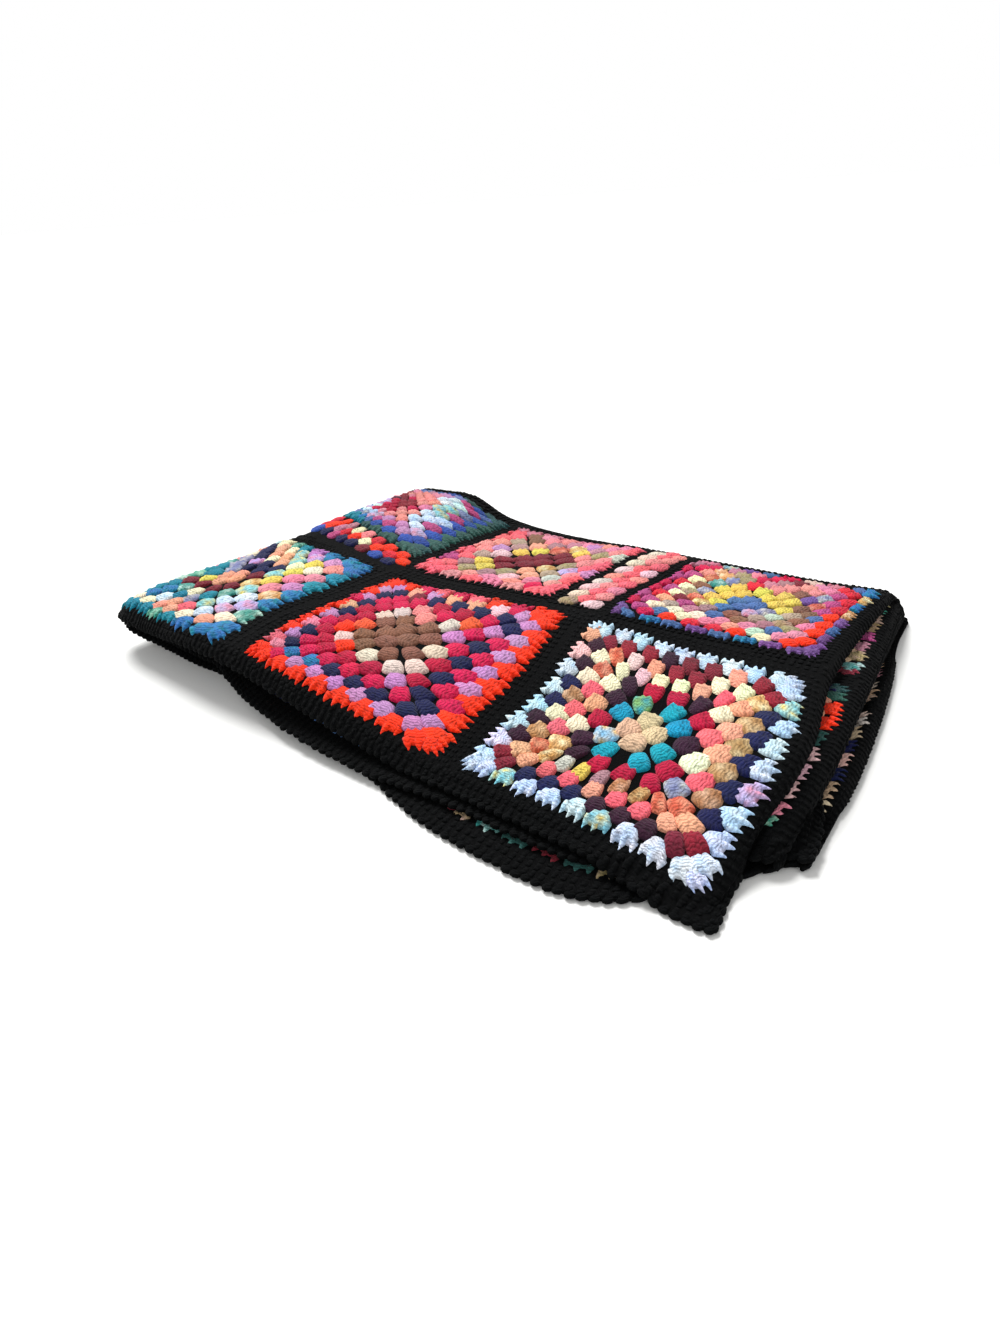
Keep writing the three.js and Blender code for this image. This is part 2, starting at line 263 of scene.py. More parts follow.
def spaced(stops, steps):
    """Even places between each two stops, at most that section's step apart."""
    places = [stops[0]]
    for start, end, step in zip(stops, stops[1:], steps):
        cells = max(1, math.ceil((end - start) / step))
        places += [start + (end - start) * cell / cells for cell in range(1, cells + 1)]
    return np.array(places)


def fold_stops(total, run):
    """Where one side of the cloth goes over from border to run, and from run to fold."""
    return 0.0, BORDER, run, total - run, total - BORDER, total


class FoldedCloth:
    """The fold surface, sampled once on a grid, and read between its samples."""

    def __init__(self):
        self.s = spaced(fold_stops(LENGTH, LEFT_RUN), LENGTH_STEPS)
        self.t = spaced(fold_stops(WIDTH, BACK_RUN), WIDTH_STEPS)
        s, t = np.meshgrid(self.s, self.t, indexing="ij")
        middle = middle_of_cloth(s.ravel(), t.ravel()).reshape(s.shape + (3,))
        along_length = np.gradient(middle, self.s, axis=0)
        along_width = np.gradient(middle, self.t, axis=1)
        normal = np.cross(along_width, along_length)
        normal /= np.linalg.norm(normal, axis=-1, keepdims=True)
        middle[..., :2] -= FOOTPRINT_MIDDLE
        self.middle, self.normal = middle, normal

    def read(self, values, s, t):
        """Reads a sampled field at places s, t."""
        s, t = np.clip(s, self.s[0], self.s[-1]), np.clip(t, self.t[0], self.t[-1])
        i = np.clip(np.searchsorted(self.s, s) - 1, 0, len(self.s) - 2)
        j = np.clip(np.searchsorted(self.t, t) - 1, 0, len(self.t) - 2)
        a = ((s - self.s[i]) / (self.s[i + 1] - self.s[i]))[:, None]
        b = ((t - self.t[j]) / (self.t[j + 1] - self.t[j]))[:, None]
        near = values[i, j] * (1 - b) + values[i, j + 1] * b
        far = values[i + 1, j] * (1 - b) + values[i + 1, j + 1] * b
        return near * (1 - a) + far * a

    def place(self, s, t, height, face=1):
        """Points a height over the middle of the cloth, on its outer face (1) or inner one (-1).

        Past the cloth's edge they run on straight."""
        middle, normal = self.read(self.middle, s, t), self.read(self.normal, s, t)
        normal /= np.linalg.norm(normal, axis=-1, keepdims=True)
        points = middle + normal * (face * np.asarray(height))[:, None]
        for axis, places, total in ((0, s, LENGTH), (1, t, WIDTH)):
            over = np.where(places < 0, places, np.where(places > total, places - total, 0))
            step = np.where(places < 0, EDGE_SLOPE_STEP, -EDGE_SLOPE_STEP)
            inner = np.clip(places, 0, total) + step
            near = (inner, t) if axis == 0 else (s, inner)
            slope = (middle - self.read(self.middle, *near)) / EDGE_SLOPE_STEP
            points += slope * np.abs(over)[:, None]
        return points * MM

    def lay(self, flat, s, t, lift, face):
        """Lays flat stitches (copy, point, 3) at places s, t, lifted off the cloth's middle."""
        heights = flat[..., 2].ravel() + lift
        return self.place(s.ravel(), t.ravel(), heights, face).reshape(flat.shape)


CLOTH = FoldedCloth()


# ---- yarns and colour charts

BLACK = "black"
YARNS = {
    "black": "#040506", "beige": "#d8b994", "turquoise": "#0c9cb8", "lime": "#7fae62",
    "crimson": "#b80d3a", "aubergine": "#33132b", "cream": "#f6edc6", "coral": "#f26672",
    "peach": "#f0a888", "pale_pink": "#efc2c6", "yellow": "#e6cd5c", "stone": "#b59a8d",
    "slate": "#7b82ab", "rust": "#c4523a", "camel": "#a8784a", "mauve": "#c07f93",
    "ochre": "#cf9450", "maroon": "#7a1f30", "navy": "#131a4a", "pale_grey": "#c9cdc0",
    "brick": "#8c1e30", "ice": "#b4d8f8", "frost": "#dfecf6", "aqua": "#7fcfdc",
    "lilac": "#b9b0dd", "taupe": "#8a5c4a", "shell": "#e6d3c4", "raspberry": "#d0104c",
    "orchid": "#c387bd", "poppy": "#ff3208", "orange": "#ee5a35", "mid_blue": "#2f74b8",
    "teal": "#14869a", "sea_green": "#2c9485", "mint": "#b9dccb", "rose": "#e488a0",
    "salmon": "#ee8f8b", "olive": "#a09264", "grey_pink": "#a97c84", "brown": "#8d5f4c",
    "magenta": "#b84a83", "purple": "#7a5296", "royal": "#2c4fa6", "bottle": "#2a5550",
    "grey_mauve": "#8388b6", "scarlet": "#dc2238", "denim": "#4d6fa6",
}

# Hand-dyed yarns drift from their own colour towards another one within a single cluster.
DRIFTS = {
    "lime": "turquoise", "aqua": "yellow", "frost": "ice", "lilac": "rose", "rust": "peach",
    "ice": "frost", "camel": "beige", "slate": "pale_grey", "ochre": "cream",
    "grey_mauve": "denim", "mid_blue": "teal", "sea_green": "mint", "olive": "stone",
}

# A chart has a line a round, from the middle outwards, and one that ends with | goes on below. Its
# sides are front | right | back | left, and a side's yarns run against the clock: front from left to
# right, right from front to back, back from right to left and left from back to front. navy*3 is
# three clusters of navy. A short side is stretched over its clusters, a - leaves a side out of the
# round, and a round with fewer than four sides gives them again in turn.
LIGHT_BLUE_CHART = """
beige
turquoise*2 | turquoise*2 | turquoise lime | turquoise aqua
aubergine crimson*3 | crimson aubergine crimson | aubergine crimson*2 aubergine |
    aubergine crimson aubergine
- | slate cream coral cream | coral peach cream*2 pale_pink cream | cream peach cream ochre
ochre pale_grey yellow grey_pink camel*2 rust | rust coral peach*3 |
    cream*2 brick*2 peach shell rust | rust coral*3 rust
peach coral*2 peach coral*2 peach | peach camel*4 ochre | - | cream*2 camel cream camel peach
maroon navy*3 aubergine*3 maroon | brick navy*5 brick | brick peach maroon*2 aubergine brick*3 |
    aubergine*2 navy*2 aubergine*2 brick
ice aqua ice*2 frost aqua ice frost*2 | frost ice*2 lilac ice frost ice aqua ice |
    ice*2 frost ice*2 frost ice*3 | peach pale_pink frost*2 ice*2 frost ice
"""
RED_ORANGE_CHART = """
taupe
taupe
poppy shell*2 | shell*2 orchid | shell salmon shell | shell orange shell
crimson*3 orchid | crimson*2 raspberry*2 | orange raspberry salmon raspberry |
    raspberry crimson poppy crimson
raspberry*5 | navy*4 orchid | raspberry crimson*2 raspberry*2 | raspberry crimson*3 raspberry
mid_blue*2 navy*4 | navy raspberry*4 navy | navy*4 maroon navy | navy*3 raspberry navy*2
raspberry orchid*6 | orchid raspberry orchid*5 | orchid pale_pink peach*2 orchid peach orchid |
    orchid*2 peach orchid rose orchid rose
poppy | poppy | poppy raspberry poppy coral raspberry coral raspberry poppy*2 |
    poppy*2 raspberry poppy*4 coral poppy
"""
TEAL_CHART = """
peach
maroon*2 | maroon*2 | navy*2 | slate yellow
sea_green cream teal | sea_green ochre aqua | navy*2 lilac | slate teal maroon
mid_blue teal slate aqua | frost aqua yellow*2 | cream peach cream navy | slate teal sea_green teal
mid_blue frost peach coral frost | lilac frost rose*2 cream | yellow aqua peach*2 navy |
    cream sea_green teal mint teal
cream*2 peach*2 cream peach | cream lilac ochre orchid rose salmon |
    orchid lilac aqua cream peach navy | peach salmon rose pale_pink cream teal
teal*3 sea_green teal mid_blue*2 | mid_blue sea_green mid_blue*2 teal*2 mid_blue |
    mid_blue*2 orchid teal sea_green cream mint | grey_mauve salmon pale_pink frost*2 sea_green teal
"""
RED_BLUE_CHART = """
denim
denim lilac | slate yellow | yellow*2 | yellow*2
grey_pink brown stone | pale_grey yellow*2 | yellow*3 | yellow*2 ochre
mauve denim brown grey_pink | olive stone brown purple | brown salmon scarlet slate |
    sea_green slate rust magenta
cream*2 rose*2 denim | olive brown*2 rust slate | salmon*2 mauve olive ochre |
    rust brown olive maroon stone
denim cream rose peach mint rose | rose*2 denim magenta*3 |
    rose salmon grey_pink raspberry olive ochre | salmon cream*3 peach cream
raspberry poppy scarlet*2 poppy cream poppy | poppy*4 scarlet*3 |
    scarlet rose maroon raspberry rose mauve raspberry |
    raspberry magenta scarlet magenta scarlet magenta*2
denim mid_blue denim purple denim mid_blue purple*2 |
    purple*2 denim purple ochre mid_blue ochre mid_blue |
    denim rose shell raspberry denim purple aqua rose |
    mauve raspberry magenta raspberry*2 magenta raspberry purple
"""
CORAL_CHART = """
maroon
maroon peach | ochre maroon | maroon yellow | yellow maroon
yellow olive peach | stone olive salmon | yellow rust peach | stone pale_pink yellow
olive grey_pink pale_pink rose | pale_grey lilac salmon olive | mauve ochre grey_pink brown |
    stone orchid stone grey_pink
coral salmon rose salmon raspberry | salmon*2 coral salmon*2 | rose orchid mauve salmon brown |
    coral salmon*2 coral*2
coral salmon coral rose salmon coral | coral*2 orchid coral pale_grey coral |
    rose salmon rose salmon rose mauve | coral*2 salmon coral magenta coral
"""
DARK_GREEN_CHART = """
brick
crimson salmon | raspberry salmon | salmon raspberry | maroon crimson
crimson*2 salmon | salmon rose salmon | salmon*2 rose | maroon crimson raspberry
raspberry rose salmon*2 | ice frost aqua frost | frost salmon*3 | brick aubergine lilac frost
frost ice lilac orchid*2 | frost ice aqua*2 frost | frost rose salmon*2 brick | maroon rose lilac*3
grey_mauve slate lilac magenta*2 orchid | lilac magenta ice magenta grey_mauve magenta |
    magenta orchid rose salmon rose brick | brick salmon frost lilac denim teal
teal*2 mid_blue denim royal*3 | royal*6 denim |
    royal grey_mauve orchid mauve grey_mauve rose salmon | salmon*3 lilac denim teal*2
bottle teal*3 bottle*4 | bottle | bottle*2 royal denim grey_mauve denim bottle*2 |
    bottle*2 teal sea_green teal*2 sea_green bottle
"""
# Strips worked on beside a square: a line a row, from its left, and along it from its front.
CORAL_STRIP_CHART = """
olive shell pale_pink shell salmon pale_pink shell pale_pink shell
coral*2 salmon coral*3 salmon coral*2
pale_pink salmon rose coral salmon pale_pink coral salmon*2
"""
RED_STRIP_CHART = """
poppy scarlet poppy mauve cream salmon scarlet poppy*2
scarlet poppy mauve scarlet poppy cream poppy scarlet poppy
navy royal navy magenta navy*2 maroon royal navy
"""
# The squares within the fold and beneath it: four plainer charts, shared out among them.
SPARE_CHARTS = (
    """
cream
rose
purple | purple | raspberry | purple
mint teal | mint | sea_green mint | mint
camel ochre | peach | camel ochre | camel
navy | navy denim | navy | navy
olive*2 stone | olive | olive stone | olive
beige
""",
    """
yellow
teal
cream shell | cream | cream | shell
scarlet | brick scarlet | scarlet | scarlet
grey_mauve lilac | lilac | grey_mauve lilac | lilac
camel | brown camel | camel | camel brown
orchid | rose orchid | orchid | orchid rose
sea_green olive | sea_green | olive sea_green | sea_green
""",
    """
poppy
ochre
navy
ice frost | ice | ice frost | ice
coral salmon | coral | salmon | coral
bottle sea_green | bottle | bottle | bottle
stone beige | beige | stone | beige stone
brick maroon | brick | brick | maroon
""",
    """
denim
lilac
pale_pink cream | pale_pink | cream | pale_pink
magenta | magenta raspberry | magenta | magenta
aqua mint | aqua | aqua | aqua mint
brown | taupe brown | brown | brown
peach cream | peach | peach | cream peach
navy denim navy | navy | navy denim | navy
""",
)


def chart_side(text):
    """The yarn names of one side of a round."""
    names = []
    for word in text.replace("-", "").split():
        name, _, times = word.partition("*")
        names += [name] * int(times or 1)
    return names


def chart_rounds(chart):
    """The rounds of a chart, each as four lists of yarn names: front, right, back and left."""
    rounds = []
    for line in chart.strip().replace("|\n", "|").splitlines():
        sides = [chart_side(side) for side in line.split("|")]
        rounds.append([sides[side % len(sides)] for side in range(4)])
    return rounds


# ---- colours and nodes

def linear_colour(text):
    """Turns an sRGB hex colour into linear RGB with full alpha."""
    channels = [int(text[at:at + 2], 16) / 255 for at in (1, 3, 5)]
    return tuple(c / 12.92 if c <= 0.04045 else ((c + 0.055) / 1.055) ** 2.4
                 for c in channels) + (1.0,)


def add_node(tree, kind, settings=None, inputs=None):
    """Adds a node with its settings, and its inputs as values or as sockets to link."""
    node = tree.nodes.new(kind)
    for name, value in (settings or {}).items():
        setattr(node, name, value)
    for name, value in (inputs or {}).items():
        if isinstance(value, bpy.types.NodeSocket):
            tree.links.new(value, node.inputs[name])
        else:
            node.inputs[name].default_value = value
    return node


# The painted shade in a V under a cluster's top loops: how far above the cluster's middle its foot
# lies, and how much higher its arms end, in millimetres.
LOOP_FOOT = 1.6
LOOP_RISE = 4.5
# Plies: how far they rise over half a post, in millimetres, the wave scale that draws them one a
# millimetre, their share in the relief, and the relief's depth in millimetres.
PLY_RISE = 3.4
PLY_SCALE = 0.444
PLY_RELIEF = 0.35
RELIEF_DEPTH = 0.9
RANGE_INPUTS = ("Value", "From Min", "From Max", "To Min", "To Max")


def yarn_material(name, strand_mm, fuzz, gloss):
    """Spun wool-blend worsted, matt and a little fuzzy, with plies that catch the light.

    Its colour comes from the mesh, as each cluster has its own. The stitch map runs across each
    post from 0 at its middle to 1 at its edge, and along it in millimetres."""
    material = bpy.data.materials.new(name)
    material.use_nodes = True
    tree = material.node_tree
    tree.nodes.clear()
    colour = add_node(tree, "ShaderNodeAttribute", {"attribute_name": "yarn"})
    stitch = add_node(tree, "ShaderNodeUVMap", {"uv_map": "stitch"})
    place = add_node(tree, "ShaderNodeTexCoord")
    # Noise by its grain in millimetres: the hand's unevenness, breaks in the painted shade marks,
    # fibres, and the slow change of a hand-dyed or heather yarn.
    wander, breaks, flecks, heather = (
        add_node(tree, "ShaderNodeTexNoise", {"noise_dimensions": "3D"},
                 {"Vector": place.outputs["Object"], "Scale": 1 / (grain * MM), "Detail": detail})
        for grain, detail in ((5, 2.0), (2.6, 0.0), (1.1, 2.0), (9, 1.0)))
    # The unevenness bends the pattern by a millimetre or so.
    centred = add_node(tree, "ShaderNodeVectorMath", {"operation": "SUBTRACT"},
                       {0: wander.outputs["Color"], 1: (0.5, 0.5, 0.5)})
    shift = add_node(tree, "ShaderNodeVectorMath", {"operation": "MULTIPLY"},
                     {0: centred.outputs["Vector"], 1: (0.5, 3.0, 0.0)})
    bent = add_node(tree, "ShaderNodeVectorMath", {"operation": "ADD"},
                    {0: stitch.outputs["UV"], 1: shift.outputs["Vector"]})
    split = add_node(tree, "ShaderNodeSeparateXYZ", {}, {"Vector": bent.outputs["Vector"]})
    # Twisted plies lie aslant over each post, so the two halves of a post make a V.
    slanted = add_node(tree, "ShaderNodeVectorMath", {"operation": "MULTIPLY"},
                       {0: bent.outputs["Vector"], 1: (PLY_RISE, 1.0, 0.0)})
    plies = add_node(tree, "ShaderNodeTexWave",
                     {"wave_type": "BANDS", "bands_direction": "DIAGONAL", "wave_profile": "SIN"},
                     {"Vector": slanted.outputs["Vector"], "Scale": PLY_SCALE / strand_mm,
                      "Distortion": 1.6, "Detail": 1.0, "Detail Scale": 0.6})
    # Painted shade darkens the colour between two posts, and in a V under each top loop.
    leaning = add_node(tree, "ShaderNodeMath", {"operation": "MULTIPLY_ADD"},
                       {0: split.outputs["X"], 1: -LOOP_RISE, 2: split.outputs["Y"]})
    from_loop = add_node(tree, "ShaderNodeMath", {"operation": "SUBTRACT"},
                         {0: leaning.outputs["Value"], 1: LOOP_FOOT})
    off_loop = add_node(tree, "ShaderNodeMath", {"operation": "ABSOLUTE"},
                        {0: from_loop.outputs["Value"]})
    # Painted shade between posts and under the loops, breaks in it, painted shade in the ply
    # grooves, and the fibres' and the dye's random tone.
    beside, under, gap, ply_groove_shade, speck, slow = (
        add_node(tree, "ShaderNodeMapRange", {}, dict(zip(RANGE_INPUTS, row)))
        for row in ((split.outputs["X"], 0.55, 1.1, 1.0, 0.52),
                    (off_loop.outputs["Value"], 0.2, 2.2, 0.62, 1.0),
                    (breaks.outputs["Fac"], 0.36, 0.56, 0.0, 0.9),
                    # Painted shade: the colour darkens in the grooves between the plies.
                    (plies.outputs["Fac"], 0.0, 0.5, 0.78, 1.04),
                    (flecks.outputs["Fac"], 0.3, 0.7, 0.8, 1.2),
                    (heather.outputs["Fac"], 0.3, 0.7, 0.9, 1.1)))
    # The fibres break the painted shade marks, each kind in other places.
    not_gap = add_node(tree, "ShaderNodeMath", {"operation": "SUBTRACT"},
                       {0: 0.95, 1: gap.outputs["Result"]})
    post_shade_broken = add_node(tree, "ShaderNodeMath", {"operation": "MAXIMUM"},
                             {0: beside.outputs["Result"], 1: gap.outputs["Result"]})
    loop_shade_broken = add_node(tree, "ShaderNodeMath", {"operation": "MAXIMUM"},
                            {0: under.outputs["Result"], 1: not_gap.outputs["Value"]})
    # The painted shade times the random tone darkens the yarn's colour, and the same mix raises the
    # relief.
    value = post_shade_broken
    for other in (loop_shade_broken, ply_groove_shade, speck, slow):
        value = add_node(tree, "ShaderNodeMath", {"operation": "MULTIPLY"},
                         {0: value.outputs[0], 1: other.outputs[0]})
    shaded_tint = add_node(tree, "ShaderNodeVectorMath", {"operation": "SCALE"},
                      {0: colour.outputs["Color"], "Scale": value.outputs[0]})
    height = add_node(tree, "ShaderNodeMath", {"operation": "MULTIPLY_ADD"},
                      {0: plies.outputs["Fac"], 1: PLY_RELIEF, 2: value.outputs[0]})
    bump = add_node(tree, "ShaderNodeBump", {},
                    {"Height": height.outputs["Value"], "Strength": 1.0,
                     "Distance": RELIEF_DEPTH * MM})
    shader = add_node(tree, "ShaderNodeBsdfPrincipled", {},
                      {"Base Color": shaded_tint.outputs["Vector"], "Roughness": 0.9, "IOR": 1.5,
                       "Specular IOR Level": gloss, "Sheen Weight": fuzz, "Sheen Roughness": 0.4,
                       "Normal": bump.outputs["Normal"]})
    add_node(tree, "ShaderNodeOutputMaterial", {}, {"Surface": shader.outputs["BSDF"]})
    return material


def floor_material():
    """Matt white paint on a board: it takes a soft shadow and shows no grain."""
    material = bpy.data.materials.new("Matt white floor")
    material.use_nodes = True
    shader = material.node_tree.nodes["Principled BSDF"]
    shader.inputs["Base Color"].default_value = linear_colour("#f2f2f0")
    shader.inputs["Roughness"].default_value = 0.9
    return material


# ---- meshes from repeated forms

# A cluster's posts, and its shape: how much its sides draw in at its corners, how late its crown
# falls off, and how much its width, height and grooves lose from its top to its middle, and again to
# its foot.
POSTS = 3
CORNER_DRAWN_IN = 0.42
CROWN_POWER = 2.6
FOOT_NARROWER = 0.16
FOOT_LOWER = 0.18
FOOT_SMOOTHER = 0.4
# A tooth's shares of width and height at its tip, how late it narrows, and where its sides lie on
# the stitch map, which keeps them clear of the painted shade between posts.
TIP_WIDTH = 0.05
TIP_HEIGHT = 0.3
TIP_POWER = 1.5
TOOTH_SIDE = 0.8


def deselect_all():
    """Leaves nothing selected, in object mode."""
    if bpy.context.object and bpy.context.object.mode != "OBJECT":
        bpy.ops.object.mode_set(mode="OBJECT")
    bpy.ops.object.select_all(action="DESELECT")


def take_form(thing, stitch):
    """Takes a modelled form as plain arrays, with its stitch coordinates, and removes its object."""
    mesh = thing.data
    points = np.array([vertex.co for vertex in mesh.vertices])
    faces = [tuple(face.vertices) for face in mesh.polygons]
    bpy.data.objects.remove(thing)
    return {"points": points, "faces": faces, "stitch": stitch(points)}


def turn_over(form):
    """The same form with its faces turned, for a layout that mirrors it."""
    return dict(form, faces=[face[::-1] for face in form["faces"]])


def close_grid(columns, rows):
    """Adds a grid two units wide and closes it beneath with one face."""
    deselect_all()
    bpy.ops.mesh.primitive_grid_add(x_subdivisions=columns, y_subdivisions=rows, size=2)
    grid = bpy.context.object
    bpy.ops.object.mode_set(mode="EDIT")
    bpy.ops.mesh.select_all(action="DESELECT")
    bpy.ops.mesh.select_non_manifold()
    bpy.ops.mesh.edge_face_add()
    bpy.ops.object.mode_set(mode="OBJECT")
    return grid


def model_cluster(columns, rows, width, length, height, groove):
    """A cluster: posts side by side, worked into one space, so it narrows towards its foot."""
    grid = close_grid(columns, rows)
    for vertex in grid.data.vertices:
        across = math.sin(vertex.co.x * math.pi / 2)
        along = math.sin(vertex.co.y * math.pi / 2)
        x = across * math.sqrt(1 - CORNER_DRAWN_IN * along * along)
        y = along * math.sqrt(1 - CORNER_DRAWN_IN * across * across)
        crown = max(1 - max(abs(across), abs(along)) ** CROWN_POWER, 0) ** 0.5
        post = 0.5 + 0.5 * math.cos(POSTS * math.pi * across)
        dip = groove * (1 - post) * (1 - FOOT_SMOOTHER + FOOT_SMOOTHER * along)
        vertex.co.x = x * width / 2 * (1 - FOOT_NARROWER + FOOT_NARROWER * along)
        vertex.co.y = y * length / 2
        vertex.co.z = height * crown * (1 - dip) * (1 - FOOT_LOWER + FOOT_LOWER * along)

    def stitch(points):
        post_width = width / POSTS
        off_post = np.abs((points[:, 0] + width / 2) % post_width - post_width / 2)
        return np.stack([off_post * POSTS * 2 / width, points[:, 1]], axis=1)

    return take_form(grid, stitch)


def model_tooth(width, length, height):
    """The pointed top of one post of a last round, where the black rows pull it out."""
    grid = close_grid(4, 5)
    for vertex in grid.data.vertices:
        across, along = vertex.co.x, (vertex.co.y + 1) / 2
        swell = 1 - (1 - TIP_WIDTH) * along ** TIP_POWER
        vertex.co.x = across * swell * width / 2
        vertex.co.y = along * length
        vertex.co.z = height * math.sqrt(1 - across ** 2) * (TIP_HEIGHT + (1 - TIP_HEIGHT) * swell)
    return take_form(grid, lambda points: np.stack(
        [np.abs(points[:, 0]) * 2 * TOOTH_SIDE / width, points[:, 1] - length], axis=1))


def model_knob(width, length, height):
    """One scallop of the edging: a small rounded stitch that shows from both sides."""
    deselect_all()
    bpy.ops.mesh.primitive_uv_sphere_add(segments=8, ring_count=5, radius=1)
    knob = bpy.context.object
    bpy.ops.object.mode_set(mode="EDIT")
    bpy.ops.mesh.select_all(action="SELECT")
    bpy.ops.transform.resize(value=(width / 2, length / 2, height / 2))
    bpy.ops.object.mode_set(mode="OBJECT")
    form = take_form(knob, lambda points: np.stack(
        [np.abs(points[:, 0]) * 2 / width, points[:, 1] - length], axis=1))
    # A sphere's faces come in another order each run.
    form["faces"].sort()
    return form


def spread(form, places, turns, scales):
    """Copies a form to flat places. Gives points (copy, point, 3) in millimetres."""
    x = form["points"][None, :, 0] * scales[:, None, 0]
    y = form["points"][None, :, 1] * scales[:, None, 1]
    z = np.broadcast_to(form["points"][None, :, 2] * scales[:, None, 2], x.shape)
    cosine, sine = np.cos(turns)[:, None], np.sin(turns)[:, None]
    return np.stack([places[:, None, 0] + x * cosine - y * sine,
                     places[:, None, 1] + x * sine + y * cosine, z], axis=-1)


class Batch:
    """Copies of forms on their way into one mesh."""

    def __init__(self):
        self.points, self.faces, self.stitches, self.colours = [], [], [], []
        self.count = 0

    def add(self, form, placed, colours):
        """Adds one copy of a form for each row of placed points, each with its own yarn."""
        copies, size = placed.shape[:2]
        self.points.append(placed.reshape(-1, 3))
        self.stitches.append(np.tile(form["stitch"], (copies, 1)))
        whole = np.broadcast_to(colours if colours.ndim == 3 else colours[:, None],
                                (copies, size, 4))
        self.colours.append(whole.reshape(-1, 4))
        for copy in range(copies):
            first = self.count + copy * size
            self.faces += [tuple(first + index for index in face) for face in form["faces"]]
        self.count += copies * size

    def make(self, name, material):
        """Makes the piece, with its yarn colours and stitch coordinates."""
        return make_piece(name, np.concatenate(self.points), self.faces,
                          np.concatenate(self.stitches), np.concatenate(self.colours), material)


def make_piece(name, points, faces, stitches, colours, material):
    """Makes a piece at the origin from points in metres, with nothing under the floor.

    It rides on the blanket's body and wears the material it is given."""
    points[:, 2] = np.maximum(points[:, 2], 0)
    mesh = bpy.data.meshes.new(name)
    mesh.from_pydata(points.tolist(), [], faces)
    corners = np.zeros(len(mesh.loops), int)
    mesh.loops.foreach_get("vertex_index", corners)
    layer = mesh.uv_layers.new(name="stitch")
    layer.data.foreach_set("uv", stitches[corners].astype(np.float32).ravel())
    tints = mesh.attributes.new("yarn", "FLOAT_COLOR", "POINT")
    tints.data.foreach_set("color", colours.astype(np.float32).ravel())
    mesh.polygons.foreach_set("use_smooth", [True] * len(faces))
    mesh.materials.append(material)
    mesh.update()
    piece = bpy.data.objects.new(name, mesh)
    bpy.context.scene.collection.objects.link(piece)
    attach(piece, "root")
    return piece


# ---- squares

OUTER, INNER = 1, -1
# A square's sides are front, right, back and left: which way each runs, which way is out, and how
# far a cluster that points to the back is turned to point out.
SIDE_RUNS = ((1, 0), (0, 1), (-1, 0), (0, -1))
SIDE_OUTWARDS = ((0, -1), (1, 0), (0, 1), (-1, 0))
SIDE_TURNS = (math.pi, -math.pi / 2, 0.0, math.pi / 2)
# Distance of each row of clusters from the square's middle, by how many rows its side has.
ROW_REACH = {
    6: (13, 32, 46, 60, 73, 86),
    7: (13, 32, 48, 63, 78, 93, 109),
    8: (12, 29, 43, 57, 70, 82, 94, 109),
}
# Clusters have their usual width at this spacing, and the few of the first rounds are wider.
USUAL_SPACING = 25.5
FIRST_SHARE = 1.15
# The end clusters of a row stand near the corner, drawn in a little, splayed and, but for the last
# round's, narrower.
END_DRAW = 1.0
END_SPLAY = math.radians(30)
END_SHARE = 0.86
# The last round has one cluster more on each corner itself, drawn in, turned out and narrower.
CORNER_DRAW = 1.0
CORNER_TURN = math.radians(45)
CORNER_SHARE = 0.7
# The share of a cluster's length in the last round, where the teeth take over.
LAST_LENGTH = 0.86


class Square:
    """One granny square: where its corners lie on the cloth, which face, and its chart.

    Its own flat sizes run from its middle, x to its right and y to its back. Middle is where its
    middle is pulled to, as shares of its width and depth."""

    def __init__(self, name, corners, face, chart, halves=(SQUARE / 2, SQUARE / 2),
                 middle=(0.5, 0.5), last_length=LAST_LENGTH):
        self.name = name
        self.corners = np.array(corners, float)
        self.face = face
        self.rounds = chart_rounds(chart)
        self.halves = halves
        self.middle = middle
        self.last_length = last_length

    def to_cloth(self, x, y):
        """Turns flat places in the square into s, t."""
        shares = []
        for value, half, middle in zip((x, y), self.halves, self.middle):
            value = value / half
            pull = np.maximum(1 - value * value, 0)
            shares.append(0.5 + value / 2 + (middle - 0.5) * pull)
        u, v = (share[..., None] for share in shares)
        front_left, front_right, back_right, back_left = self.corners
        front = front_left * (1 - u) + front_right * u
        back = back_left * (1 - u) + back_right * u
        place = front * (1 - v) + back * v
        return place[..., 0], place[..., 1]

    def onto_cloth(self, flat, lift):
        """Carries flat points of the square onto the folded cloth, lifted off its middle."""
        return CLOTH.lay(flat, *self.to_cloth(flat[..., 0], flat[..., 1]), lift, self.face)

    def clusters(self):
        """Each cluster's yarn, place, turn, share of the usual width and whether it is last."""
        found = []
        for side in range(4):
            run, outward = np.array(SIDE_RUNS[side]), np.array(SIDE_OUTWARDS[side])
            rows = [row[side] for row in self.rounds if row[side]]
            for number, (names, reach) in enumerate(zip(rows, ROW_REACH[len(rows)]), start=1):
                count = max(number, len(names))
                last = number == len(rows)
                spacing = 2 * reach / count
                for index in range(count):
                    along, out, turn = spacing * (index - (count - 1) / 2), reach, 0
                    share = spacing / USUAL_SPACING if count > 2 else FIRST_SHARE
                    if count > 1 and index in (0, count - 1):
                        out -= END_DRAW
                        turn = END_SPLAY if index else -END_SPLAY
                        share *= 1 if last else END_SHARE
                    found.append((names[index * len(names) // count], outward * out + run * along,
                                  SIDE_TURNS[side] + turn, share, last))
            found.append((names[-1], (outward + run) * (reach - CORNER_DRAW),
                          SIDE_TURNS[side] + CORNER_TURN, CORNER_SHARE, True))
        return found


